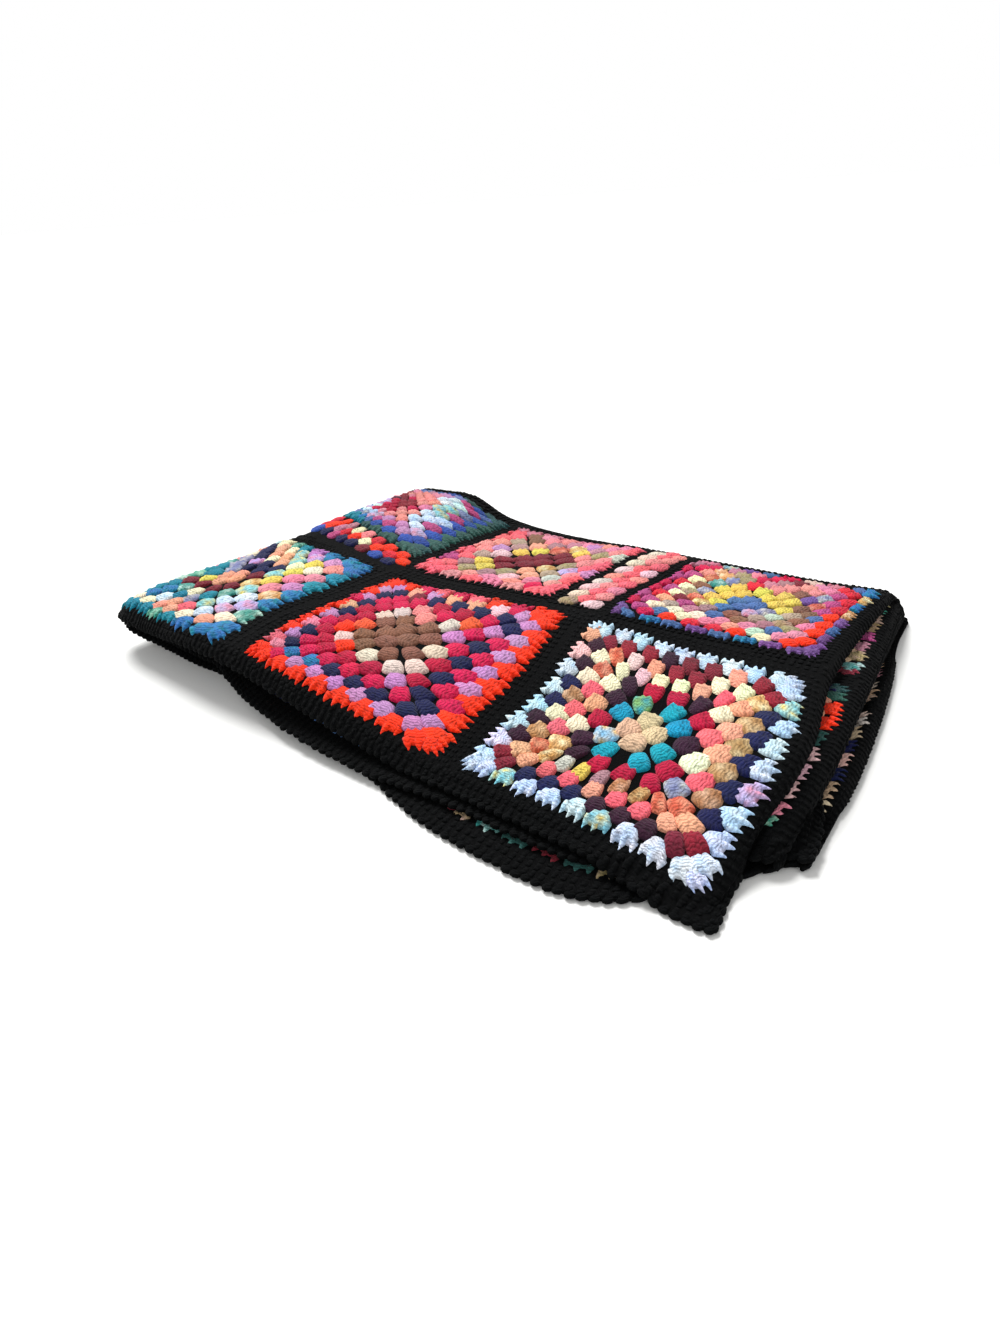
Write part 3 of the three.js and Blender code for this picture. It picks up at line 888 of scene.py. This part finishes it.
class Strip(Square):
    """Rows of clusters worked on at one side of a square, side by side from its left."""

    def clusters(self):
        """Each cluster as a square gives them. Every second row starts half a cluster later."""
        found = []
        half_width, half_length = self.halves
        width = 2 * half_width / len(self.rounds)
        for number, (names, *_) in enumerate(self.rounds):
            last = number == len(self.rounds) - 1
            spacing = 2 * half_length / (len(names) - 0.5)
            for index, name in enumerate(names):
                along = spacing * (index + (0.5 if number % 2 else 0)) - half_length
                out = width * (number + 0.5) - half_width
                found.append((name, (out, along), SIDE_TURNS[1], spacing / USUAL_SPACING, last))
        return found


def panel_corners(column, row, x_along_s, y_along_t):
    """Corners of a square on the even cloth, for a square whose x and y run with or against s, t."""
    s = BORDER + column * PITCH, BORDER + column * PITCH + SQUARE
    t = BORDER + row * PITCH, BORDER + row * PITCH + SQUARE
    left, right = s if x_along_s else s[::-1]
    front, back = t if y_along_t else t[::-1]
    return (left, front), (right, front), (right, back), (left, back)


TOP_SQUARES = (
    Square("light_blue", ((244, 26), (22, 26), (32, 254), (254, 262)), OUTER, LIGHT_BLUE_CHART,
           middle=(0.483, 0.471)),
    Square("red_orange", ((496, 18), (270, 22), (288, 260), (506, 236)), OUTER, RED_ORANGE_CHART,
           middle=(0.44, 0.465), last_length=1.02),
    Square("teal", ((768, 16), (534, 16), (544, 244), (768, 254)), OUTER, TEAL_CHART,
           middle=(0.41, 0.47)),
    Square("red_blue", ((250, 289), (33, 300), (24, 486), (244, 490)), OUTER, RED_BLUE_CHART,
           last_length=0.5),
    Square("coral", ((512, 288), (334, 298), (326, 492), (508, 488)), OUTER, CORAL_CHART,
           halves=(89.0, 89.0)),
    Square("dark_green", ((768, 362), (536, 308), (530, 484), (768, 500)), OUTER,
           DARK_GREEN_CHART, middle=(0.37, 0.6)),
)
STRIPS = (
    Strip("coral_strip", ((312, 290), (268, 294), (266, 498), (310, 496)), OUTER,
          CORAL_STRIP_CHART, halves=(22.0, 102.0)),
    Strip("red_strip", ((768, 358), (768, 304), (534, 268), (536, 306)), OUTER,
          RED_STRIP_CHART, halves=(22.0, 115.0)),
)

# Last rounds that show between the layers: side 0 is the free front edge, from its left, and
# side 1 the free right edge, from its front.
MARGIN_YARNS = {
    ("inner_0_3", 1): "rose pale_pink*2 shell bottle poppy*2 bottle",
    ("inner_0_2", 1): "sea_green olive mauve magenta olive stone sea_green olive",
    ("inner_0_3", 0): "olive bottle sea_green olive bottle stone olive sea_green",
    ("inner_1_3", 0): "bottle olive bottle sea_green bottle olive bottle*2",
    ("inner_2_3", 0): "stone pale_grey stone olive bottle*2 olive stone",
    ("inner_5_3", 1): "stone bottle rose maroon bottle olive stone bottle",
    ("inner_5_2", 1): "bottle stone olive bottle stone maroon bottle olive",
    ("lowest_5_0", 1): "pale_grey shell beige navy pale_pink navy beige shell",
    ("lowest_5_1", 1): "beige shell grey_pink beige stone beige camel stone",
    ("lowest_5_0", 0): "olive sea_green bottle maroon bottle olive maroon olive",
    ("lowest_4_0", 0): "bottle sea_green olive maroon bottle brick olive bottle",
    ("lowest_3_0", 0): "stone pale_grey bottle stone olive bottle*2 olive",
}


def spare_squares(name, columns, rows, chart_steps, sides, face):
    """Squares of the hidden layers, which share out the spare charts.

    Sides says whether x and y run with s and t, and the chart steps count the charts on."""
    squares = []
    for column in columns:
        for row in rows:
            pick = chart_steps[0] * column + chart_steps[1] * row + chart_steps[2]
            square = Square(f"{name}_{column}_{row}", panel_corners(column, row, *sides), face,
                            SPARE_CHARTS[pick % len(SPARE_CHARTS)])
            for side in range(4):
                names = MARGIN_YARNS.get((square.name, side))
                if names:
                    square.rounds[-1][side] = chart_side(names)
            squares.append(square)
    return squares


def under_squares():
    """The squares of the lowest layer's outer face, which lie on the floor."""
    return spare_squares("under", (3, 4, 5), (0, 1), (1, 1, 0), (False, True), OUTER)


def inner_squares():
    """The squares whose margins show between the layers: of the third, second and lowest layer."""
    return (spare_squares("inner", (0, 1, 2), (2, 3), (2, 1, 0), (False, False), INNER)
            + spare_squares("inner", (3, 4, 5), (2, 3), (2, 1, 0), (True, False), OUTER)
            + spare_squares("lowest", (3, 4, 5), (0, 1), (1, 2, 1), (True, True), INNER))


# ---- settings

class BlanketSizes(bpy.types.PropertyGroup):
    """Sizes of the crochet, in millimetres."""
    cluster_width: bpy.props.FloatProperty(
        name="Cluster width", description="Width of one cluster of three posts, in millimetres",
        default=26.0, min=10, max=40)
    cluster_length: bpy.props.FloatProperty(
        name="Cluster length", description="Length of one cluster, in millimetres",
        default=26.0, min=10, max=40)
    cluster_height: bpy.props.FloatProperty(
        name="Cluster height", description="How far a cluster stands up, in millimetres",
        default=8.9, min=1, max=12)
    strand: bpy.props.FloatProperty(
        name="Strand", description="Width of one strand of the yarn, in millimetres",
        default=2.4, min=0.5, max=8)
    fuzz: bpy.props.FloatProperty(
        name="Fuzz", description="How much the yarn's stray fibres catch the light",
        default=0.1, min=0, max=1, subtype="FACTOR")
    seed: bpy.props.IntProperty(
        name="Seed", description="Start of the hand's small unevenness", default=7)


class YarnColours(bpy.types.PropertyGroup):
    """The colours of the yarns."""
    __annotations__ = {
        name: bpy.props.FloatVectorProperty(
            name=name.replace("_", " ").capitalize(), description=f"The {name} yarn",
            default=linear_colour(text), size=4, min=0, max=1, subtype="COLOR")
        for name, text in YARNS.items()}


def yarn(name="Crocheted worsted yarn", fuzz_share=1.0, gloss=0.25):
    """A yarn's material, made once."""
    sizes = bpy.context.scene.blanket_sizes
    return bpy.data.materials.get(name) or yarn_material(name, sizes.strand,
                                                         sizes.fuzz * fuzz_share, gloss)


def black_yarn():
    """The edging's yarn: its fibres are dyed through, so little light comes back from them."""
    return yarn("Crocheted black worsted yarn", 0.1, 0.08)


# ---- work with the hand

# How much the hand strays, as a standard deviation: places in millimetres, turns in radians, and
# sizes and shades as shares.
CLUSTER_STRAY = {"place": 0.7, "turn": math.radians(5), "size": 0.035, "shade": 0.06}
TOOTH_STRAY = {"place": 0.7, "turn": 0.05, "size": 0.06}
ROW_STRAY = {"place": 0.35, "turn": 0.08, "size": 0.06}
FILL_STRAY = {"place": 0.4, "size": 0.07}
BLACK_STRAY = 0.12
# Clusters squeeze and stretch to fit their row, within these shares of their usual width.
LEAST_WIDTH, MOST_WIDTH = 0.7, 1.25
# A last cluster reaches this far out from its place, in millimetres. Its teeth start at its place,
# where it hides their feet, the outer two a little lower and leaning out.
LAST_EDGE = 6.7
TOOTH_START = 0.5
TOOTH_SPACING = 8.2
TOOTH_LENGTH = 12.0
TOOTH_WIDTH = 1.2 * TOOTH_SPACING
OUTER_TOOTH_DROP = 1.5
OUTER_TOOTH_LEAN = 0.06
# How a hand-dyed yarn's colour comes and goes across and along a cluster, in radians a millimetre.
DRIFT_WAVES = ((0.33, 0.0), (0.12, 0.3), (0.0, 0.0))


class Hand:
    """A crocheter's hand: the yarns it works with, and its small unevenness from its start on."""

    def __init__(self, start):
        settings = bpy.context.scene.blanket_yarns
        self.yarns = {name: np.array(getattr(settings, name)) for name in YARNS}
        self.random = np.random.default_rng(bpy.context.scene.blanket_sizes.seed + start)

    def stray(self, amount, *shape):
        """Small departures, as many as the shape asks for."""
        return self.random.normal(0, amount, shape)

    def blacks(self, count):
        """The black yarn for each of so many stitches, no two quite alike."""
        return np.clip(self.yarns[BLACK] * (1 + self.stray(BLACK_STRAY, count, 1)), 0, 1)


def dye(form, tints, drifted, shades, phases):
    """Colours of each copy's points (copy, point, 4), drifting along a hand-dyed yarn."""
    waves = form["points"] @ np.array(DRIFT_WAVES)
    drift = np.sin(waves[None, :, 0] + phases[:, None]) * np.cos(
        waves[None, :, 1] - 2 * phases[:, None])
    share = (0.5 + 0.5 * drift)[..., None] ** 2
    mixed = tints[:, None] * (1 - share) + drifted[:, None] * share
    return np.clip(mixed * shades[:, None], 0, 1)


def work_clusters(batch, square, form, tooth, hand, lift, keep=None):
    """Adds a square's clusters to a batch, and the teeth of its last round."""
    names, places, turns, shares, lasts = (list(values) for values in zip(*square.clusters()))
    count = len(names)
    places = np.array(places, float) + hand.stray(CLUSTER_STRAY["place"], count, 2)
    turns = np.array(turns) + hand.stray(CLUSTER_STRAY["turn"], count)
    scales = 1 + hand.stray(CLUSTER_STRAY["size"], count, 3)
    scales[:, 0] *= np.clip(shares, LEAST_WIDTH, MOST_WIDTH)
    tints = np.array([hand.yarns[name] for name in names])
    drifted = np.array([hand.yarns[DRIFTS.get(name, name)] for name in names])
    shades = 1 + hand.stray(CLUSTER_STRAY["shade"], count, 4)
    phases = hand.random.uniform(0, 2 * math.pi, count)
    lasts = np.array(lasts)
    kept = np.ones(count, bool) if keep is None else keep(*square.to_cloth(*places.T))
    if kept.any():
        bodies, sizes = places, scales
        if tooth:
            outward = np.stack([-np.sin(turns), np.cos(turns)], axis=1)
            length = bpy.context.scene.blanket_sizes.cluster_length * square.last_length
            bodies = np.where(lasts[:, None], places - outward * (length / 2 - LAST_EDGE), places)
            sizes = scales.copy()
            sizes[lasts, 1] *= square.last_length
        flat = spread(form, bodies[kept], turns[kept], sizes[kept])
        worked = dye(form, tints[kept], drifted[kept], shades[kept], phases[kept])
        batch.add(form, square.onto_cloth(flat, lift), worked)
    ends = kept & lasts
    if tooth is None or not ends.any():
        return
    cosine, sine = np.cos(turns[ends]), np.sin(turns[ends])
    for post in (-1, 0, 1):
        x = post * TOOTH_SPACING * scales[ends, 0]
        y = TOOTH_START - OUTER_TOOTH_DROP * abs(post) + hand.stray(TOOTH_STRAY["place"], len(x))
        spots = places[ends] + np.stack([x * cosine - y * sine, x * sine + y * cosine], axis=1)
        lean = turns[ends] - OUTER_TOOTH_LEAN * post + hand.stray(TOOTH_STRAY["turn"], len(x))
        sizes = scales[ends] * (1 + hand.stray(TOOTH_STRAY["size"], len(x), 3))
        worked = dye(tooth, tints[ends], drifted[ends], shades[ends], phases[ends] + post)
        batch.add(tooth, square.onto_cloth(spread(tooth, spots, lean, sizes), lift), worked)


# The black stitches' spacing along a row, and the depth of row that their form is modelled for.
BLACK_SPACING = 7.4
BLACK_DEPTH = 9.0
# Rows of black round a square: distance out from its side, and the row's depth.
BLACK_ROWS = ((3.6, 9.0), (10.0, 8.0))
BLACK_LIFT = 0.2
# Between the squares' own rows: how far the filling stays off a square, and its rows' spacing. It
# starts in from the free edges and goes on a little round the folds.
FILL_MARGIN = 16.0
FILL_SPACING = 8.0
FILL_START = 20
FILL_ROUND_LEFT, FILL_ROUND_BACK = 60, 10
# The clusters and rows of the inner squares are left out further than this from a free edge.
NEAR_EDGE = 66.0


def work_black_rows(batch, square, form, hand, lift, keep=None):
    """Adds the black rows worked round a square."""
    for out, depth in BLACK_ROWS:
        for side in range(4):
            reach = square.halves[(side + 1) % 2] + out
            width = 2 * (square.halves[side % 2] + out)
            count = round(width / BLACK_SPACING)
            along = (np.arange(count) + 0.5) * width / count - width / 2
            run, outward = np.array(SIDE_RUNS[side]), np.array(SIDE_OUTWARDS[side])
            places = outward * reach + run * along[:, None]
            places = places + hand.stray(ROW_STRAY["place"], count, 2)
            turns = SIDE_TURNS[side] + hand.stray(ROW_STRAY["turn"], count)
            scales = 1 + hand.stray(ROW_STRAY["size"], count, 3)
            scales[:, 1] *= depth / BLACK_DEPTH
            if keep is not None:
                kept = keep(*square.to_cloth(*places.T))
                places, turns, scales = places[kept], turns[kept], scales[kept]
            if not len(places):
                continue
            tints = hand.blacks(len(places))
            flat = spread(form, places, turns, scales)
            batch.add(form, square.onto_cloth(flat, lift), tints)


def work_row(batch, form, hand, places, turn, lift, face):
    """Adds black stitches at places s, t of the cloth, all turned one way."""
    places = places + hand.stray(FILL_STRAY["place"], len(places), 2)
    scales = 1 + hand.stray(FILL_STRAY["size"], len(places), 3)
    flat = spread(form, places, np.full(len(places), turn), scales)
    points = CLOTH.lay(flat, flat[..., 0], flat[..., 1], lift, face)
    # On the outer face s and t are a mirrored layout, so the stitches are turned over there.
    batch.add(turn_over(form) if face == OUTER else form, points, hand.blacks(len(places)))


def inside(outline, s, t):
    """Whether each place lies inside an outline of (s, t) corners."""
    crossed = np.zeros(s.shape, bool)
    for (s0, t0), (s1, t1) in zip(outline, np.roll(outline, -1, axis=0)):
        if t0 == t1:
            continue
        level = (t0 > t) != (t1 > t)
        crossed ^= level & (s < (s1 - s0) * (t - t0) / (t1 - t0) + s0)
    return crossed


def fill_bands(batch, squares, form, hand):
    """Fills what lies between the top squares and their own black rows with more black rows."""
    s, t = np.meshgrid(np.arange(FILL_START, LEFT_RUN + FILL_ROUND_LEFT, BLACK_SPACING),
                       np.arange(FILL_START, BACK_RUN + FILL_ROUND_BACK, FILL_SPACING),
                       indexing="ij")
    s, t = s.ravel(), t.ravel()
    free = np.ones(s.shape, bool)
    for square in squares:
        reach = [half + FILL_MARGIN for half in square.halves]
        corners = np.array(((-1, -1), (1, -1), (1, 1), (-1, 1))) * reach
        free &= ~inside(np.stack(square.to_cloth(*corners.T), axis=1), s, t)
    places = np.stack([s[free], t[free]], axis=1)
    work_row(batch, form, hand, places, SIDE_TURNS[0], BLACK_LIFT, OUTER)


def near_free_edge(s, t):
    """Whether a place lies near a free edge of the cloth."""
    return (s < NEAR_EDGE) | (s > LENGTH - NEAR_EDGE) | (t < NEAR_EDGE) | (t > WIDTH - NEAR_EDGE)


# ---- operators

# Half the thickness of the ground cloth within a square, and in the bands and border.
SQUARE_GROUND = 0.9
BAND_GROUND = 1.5
# Cells of the ground cloth, and the finer ones of its borders and folds.
GROUND_STEP = 10
FINE_STEP = 4
# Where the groups of pieces start in the hand's unevenness, counted on from the seed.
STARTS = {"squares": 0, "strips": 10, "under": 20, "inner": 40, "rows": 60, "edging": 80}


def model_sized_cluster(columns, rows, height, groove):
    """A cluster as wide and long as the settings say."""
    sizes = bpy.context.scene.blanket_sizes
    return model_cluster(columns, rows, sizes.cluster_width, sizes.cluster_length, height, groove)


class BLANKET_OT_ground_cloth(bpy.types.Operator):
    """The cloth's own ground: the feet of the stitches, one sheet folded in half twice"""
    bl_idname = "blanket.ground_cloth"
    bl_label = "Ground cloth"

    def execute(self, context):
        s, t = self.lines(COLUMNS, LENGTH, LEFT_RUN), self.lines(ROWS, WIDTH, BACK_RUN)
        flat_s, flat_t = (grid.ravel() for grid in np.meshgrid(s, t, indexing="ij"))
        in_square = self.in_squares(flat_s) & self.in_squares(flat_t)
        half = np.where(in_square, SQUARE_GROUND, BAND_GROUND)
        points = np.concatenate([CLOTH.place(flat_s, flat_t, half, face)
                                 for face in (OUTER, INNER)])
        across, size = len(t), len(flat_s)
        faces = []
        for i in range(len(s) - 1):
            for j in range(across - 1):
                a = i * across + j
                quad = (a, a + 1, a + across + 1, a + across)
                faces += [quad, tuple(index + size for index in quad[::-1])]
        rim = [i * across for i in range(len(s))]
        rim += [(len(s) - 1) * across + j for j in range(1, across)]
        rim += [i * across + across - 1 for i in range(len(s) - 2, -1, -1)]
        rim += list(range(across - 2, 0, -1))
        for here, there in zip(rim, rim[1:] + rim[:1]):
            faces.append((here, there, there + size, here + size))
        stitches = np.stack([flat_s, flat_t], axis=1)
        # All black: in the bands and border it is the black yarn's own colour, and within the
        # squares it is painted shade in the gaps between the clusters.
        tints = np.tile(getattr(context.scene.blanket_yarns, BLACK), (2 * size, 1))
        piece = make_piece("ground_cloth", points, faces, np.concatenate([stitches] * 2), tints,
                           black_yarn())
        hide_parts("blanket")
        return {"FINISHED"}

    @staticmethod
    def lines(count, total, run):
        """Grid lines along one side, closer on the borders and round the fold."""
        stops = set(fold_stops(total, run))
        for index in range(count):
            stops |= {BORDER + index * PITCH, BORDER + index * PITCH + SQUARE}
        stops = sorted(stops)
        fine = (a < BORDER or b > total - BORDER or (a >= run and b <= total - run)
                for a, b in zip(stops, stops[1:]))
        return spaced(stops, [FINE_STEP if near else GROUND_STEP for near in fine])

    @staticmethod
    def in_squares(place):
        """Whether a place along one side lies in a column or row of squares."""
        return (place > BORDER) & ((place - BORDER) % PITCH < SQUARE)


class BLANKET_OT_top_squares(bpy.types.Operator):
    """The six squares of the top layer and the two strips, cluster by cluster"""
    bl_idname = "blanket.top_squares"
    bl_label = "Top squares"

    def execute(self, context):
        height = context.scene.blanket_sizes.cluster_height
        cluster = model_sized_cluster(columns=12, rows=7, height=height, groove=0.36)
        tooth = model_tooth(TOOTH_WIDTH, TOOTH_LENGTH, height=7.0)
        for group, squares in (("squares", TOP_SQUARES), ("strips", STRIPS)):
            for number, square in enumerate(squares):
                batch = Batch()
                work_clusters(batch, square, cluster, tooth if group == "squares" else None,
                              Hand(STARTS[group] + number), lift=-1.6)
                name = f"square_{square.name}" if group == "squares" else square.name
                batch.make(name, yarn())
        return {"FINISHED"}


class BLANKET_OT_under_squares(bpy.types.Operator):
    """The six squares that lie on the floor, pressed flat by the layers above"""
    bl_idname = "blanket.under_squares"
    bl_label = "Under squares"

    def execute(self, context):
        cluster = model_sized_cluster(columns=6, rows=4, height=2.9, groove=0.1)
        batch, hand = Batch(), Hand(STARTS["under"])
        for square in under_squares():
            work_clusters(batch, square, cluster, None, hand, lift=-0.4)
        batch.make("squares_under", yarn())
        return {"FINISHED"}


class BLANKET_OT_inner_margins(bpy.types.Operator):
    """The clusters that show between the layers along the free edges"""
    bl_idname = "blanket.inner_margins"
    bl_label = "Inner margins"

    def execute(self, context):
        cluster = model_sized_cluster(columns=9, rows=5, height=5.2, groove=0.3)
        tooth = model_tooth(TOOTH_WIDTH, TOOTH_LENGTH, height=4.4)
        batch, hand = Batch(), Hand(STARTS["inner"])
        for square in inner_squares():
            work_clusters(batch, square, cluster, tooth, hand, lift=-1.0, keep=near_free_edge)
        batch.make("squares_inner_margins", yarn())
        return {"FINISHED"}


class BLANKET_OT_black_rows(bpy.types.Operator):
    """The black rows round each square, which join into the bands"""
    bl_idname = "blanket.black_rows"
    bl_label = "Black rows"

    def execute(self, context):
        stitch = model_cluster(3, 3, BLACK_SPACING, length=10.5, height=2.6, groove=0.0)
        batch, hand = Batch(), Hand(STARTS["rows"])
        for square in TOP_SQUARES + STRIPS[:1]:
            work_black_rows(batch, square, stitch, hand, BLACK_LIFT)
        fill_bands(batch, TOP_SQUARES + STRIPS, stitch, hand)
        batch.make("bands_top", black_yarn())
        batch = Batch()
        for square in inner_squares():
            work_black_rows(batch, square, stitch, hand, BLACK_LIFT, near_free_edge)
        batch.make("bands_inner_margins", black_yarn())
        return {"FINISHED"}


class BLANKET_OT_edging(bpy.types.Operator):
    """The black edging: two rows of stitches on both faces, and a scalloped last row"""
    bl_idname = "blanket.edging"
    bl_label = "Edging"

    def execute(self, context):
        stitch = model_cluster(3, 3, BLACK_SPACING, length=11.0, height=3.0, groove=0.0)
        knob = model_knob(width=9.2, length=8.0, height=5.2)
        hand = Hand(STARTS["edging"])
        for face, name in ((OUTER, "edging_outer_face"), (INNER, "edging_inner_face")):
            batch = Batch()
            for distance in (13.0, 5.0):
                self.go_round(batch, stitch, hand, distance, BLACK_SPACING, BLACK_LIFT, face)
            batch.make(name, black_yarn())
        batch = Batch()
        self.go_round(batch, knob, hand, distance=0.5, spacing=8.7, lift=0, face=OUTER)
        batch.make("edging_scallops", black_yarn())
        return {"FINISHED"}

    @staticmethod
    def go_round(batch, form, hand, distance, spacing, lift, face):
        """Adds one row round the whole cloth, a distance in from its edge."""
        for side, turn in enumerate(SIDE_TURNS):
            total = WIDTH if side % 2 else LENGTH
            count = round((total - 2 * distance) / spacing)
            along = distance + (np.arange(count) + 0.5) * (total - 2 * distance) / count
            edge = (distance, LENGTH - distance, WIDTH - distance, distance)[side]
            across = np.full(count, edge)
            places = np.stack([across, along] if side % 2 else [along, across], axis=1)
            work_row(batch, form, hand, places, turn, lift, face)


# The studio, in metres. The floor lies a hair under the blanket, and runs on past all that is seen.
# The key light is far off, so the floor is evenly bright, and the fills are soft boxes.
FLOOR_SIZE, FLOOR_GAP = 400, 0.0004
LIGHTS = (
    ("key", "SUN", (-1.15, 0.75, 1.5), 4.4),
    ("fill_front", "AREA", (-0.6, -2.0, 1.6), 10),
    ("fill_right", "AREA", (2.0, -0.7, 1.1), 6),
)
KEY_SPREAD = math.radians(30)
BOX_SIZE = 2.2
# The white walls all round: how much light they give, and how bright they look.
WALL_LIGHT, WALL_WHITE = 0.5, 1.0
# The camera: the place it looks at, from the same corner as x and y above, then its direction, its
# roll and its distance, and its focal length in pixels of a frame this high.
CAMERA_TARGET = (-0.035, 0.124, 0.042)
CAMERA_AZIMUTH = math.radians(38)
CAMERA_ELEVATION = math.radians(31.5)
CAMERA_ROLL = math.radians(-4)
CAMERA_DISTANCE = 0.745
CAMERA_FOCUS, FRAME_HEIGHT = 761, 1333
SENSOR = 36


class BLANKET_OT_stage(bpy.types.Operator):
    """A plain pale floor, soft light and the camera"""
    bl_idname = "blanket.stage"
    bl_label = "Stage"

    def execute(self, context):
        deselect_all()
        bpy.ops.mesh.primitive_plane_add(size=FLOOR_SIZE, location=(0, 0, -FLOOR_GAP))
        floor = bpy.context.object
        floor.name = "floor"
        floor.data.materials.append(floor_material())
        for name, kind, place, power in LIGHTS:
            bpy.ops.object.light_add(type=kind, location=place)
            light = bpy.context.object
            light.name = f"light_{name}"
            light.data.energy = power
            if kind == "SUN":
                light.data.angle = KEY_SPREAD
            else:
                light.data.size = BOX_SIZE
            light.rotation_euler = (-Vector(place)).to_track_quat("-Z", "Y").to_euler()
        context.scene.world = self.walls()
        # Colours are shown as they are mixed, so the yarns keep their strength.
        context.scene.view_settings.view_transform = "Standard"
        self.camera(context)
        return {"FINISHED"}

    @staticmethod
    def walls():
        """Even white light from all round, and white walls for the eye."""
        world = bpy.data.worlds.new("White studio")
        world.use_nodes = True
        tree = world.node_tree
        seen = add_node(tree, "ShaderNodeLightPath")
        strength = add_node(tree, "ShaderNodeMapRange", {},
                            {"Value": seen.outputs["Is Camera Ray"], "To Min": WALL_LIGHT,
                             "To Max": WALL_WHITE})
        background = tree.nodes["Background"]
        background.inputs["Color"].default_value = (1, 1, 1, 1)
        tree.links.new(strength.outputs["Result"], background.inputs["Strength"])
        return world

    @staticmethod
    def camera(context):
        """The camera, from its direction, roll and distance."""
        target = Vector(CAMERA_TARGET) - Vector((*FOOTPRINT_MIDDLE, 0)) * MM
        level = math.cos(CAMERA_ELEVATION)
        back = Vector((math.sin(CAMERA_AZIMUTH) * level, -math.cos(CAMERA_AZIMUTH) * level,
                       math.sin(CAMERA_ELEVATION)))
        right = Vector((0, 0, 1)).cross(back).normalized()
        up = back.cross(right)
        cosine, sine = math.cos(CAMERA_ROLL), math.sin(CAMERA_ROLL)
        turned = Matrix((cosine * right + sine * up, -sine * right + cosine * up, back))
        bpy.ops.object.camera_add()
        camera = bpy.context.object
        camera.name = "camera"
        camera.matrix_world = (Matrix.Translation(target + back * CAMERA_DISTANCE)
                               @ turned.transposed().to_4x4())
        camera.data.sensor_width = SENSOR
        camera.data.lens = CAMERA_FOCUS / FRAME_HEIGHT * SENSOR
        camera.data.clip_start = 0.01
        context.scene.camera = camera


class BLANKET_PT_panel(bpy.types.Panel):
    """Lists the blanket's pieces and settings"""
    bl_idname = "BLANKET_PT_panel"
    bl_label = "Granny square blanket"
    bl_space_type = "VIEW_3D"
    bl_region_type = "UI"
    bl_category = "Blanket"

    def draw(self, context):
        for operator in OPERATORS:
            self.layout.operator(operator.bl_idname)
        for name in BlanketSizes.__annotations__:
            self.layout.prop(context.scene.blanket_sizes, name)
        for name in YARNS:
            self.layout.prop(context.scene.blanket_yarns, name)


OPERATORS = (
    BLANKET_OT_ground_cloth, BLANKET_OT_top_squares, BLANKET_OT_under_squares,
    BLANKET_OT_inner_margins, BLANKET_OT_black_rows, BLANKET_OT_edging, BLANKET_OT_stage,
)
CLASSES = (BlanketSizes, YarnColours, *OPERATORS, BLANKET_PT_panel)


def register():
    """Registers the classes and their settings."""
    for item in CLASSES:
        bpy.utils.register_class(item)
    bpy.types.Scene.blanket_sizes = bpy.props.PointerProperty(type=BlanketSizes)
    bpy.types.Scene.blanket_yarns = bpy.props.PointerProperty(type=YarnColours)


def unregister():
    """Takes the settings and classes away again."""
    del bpy.types.Scene.blanket_yarns
    del bpy.types.Scene.blanket_sizes
    for item in reversed(CLASSES):
        bpy.utils.unregister_class(item)


def main():
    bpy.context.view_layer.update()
    register()
    for operator in OPERATORS:
        group, name = operator.bl_idname.split(".")
        getattr(getattr(bpy.ops, group), name)()


if __name__ == "__main__":
    main()
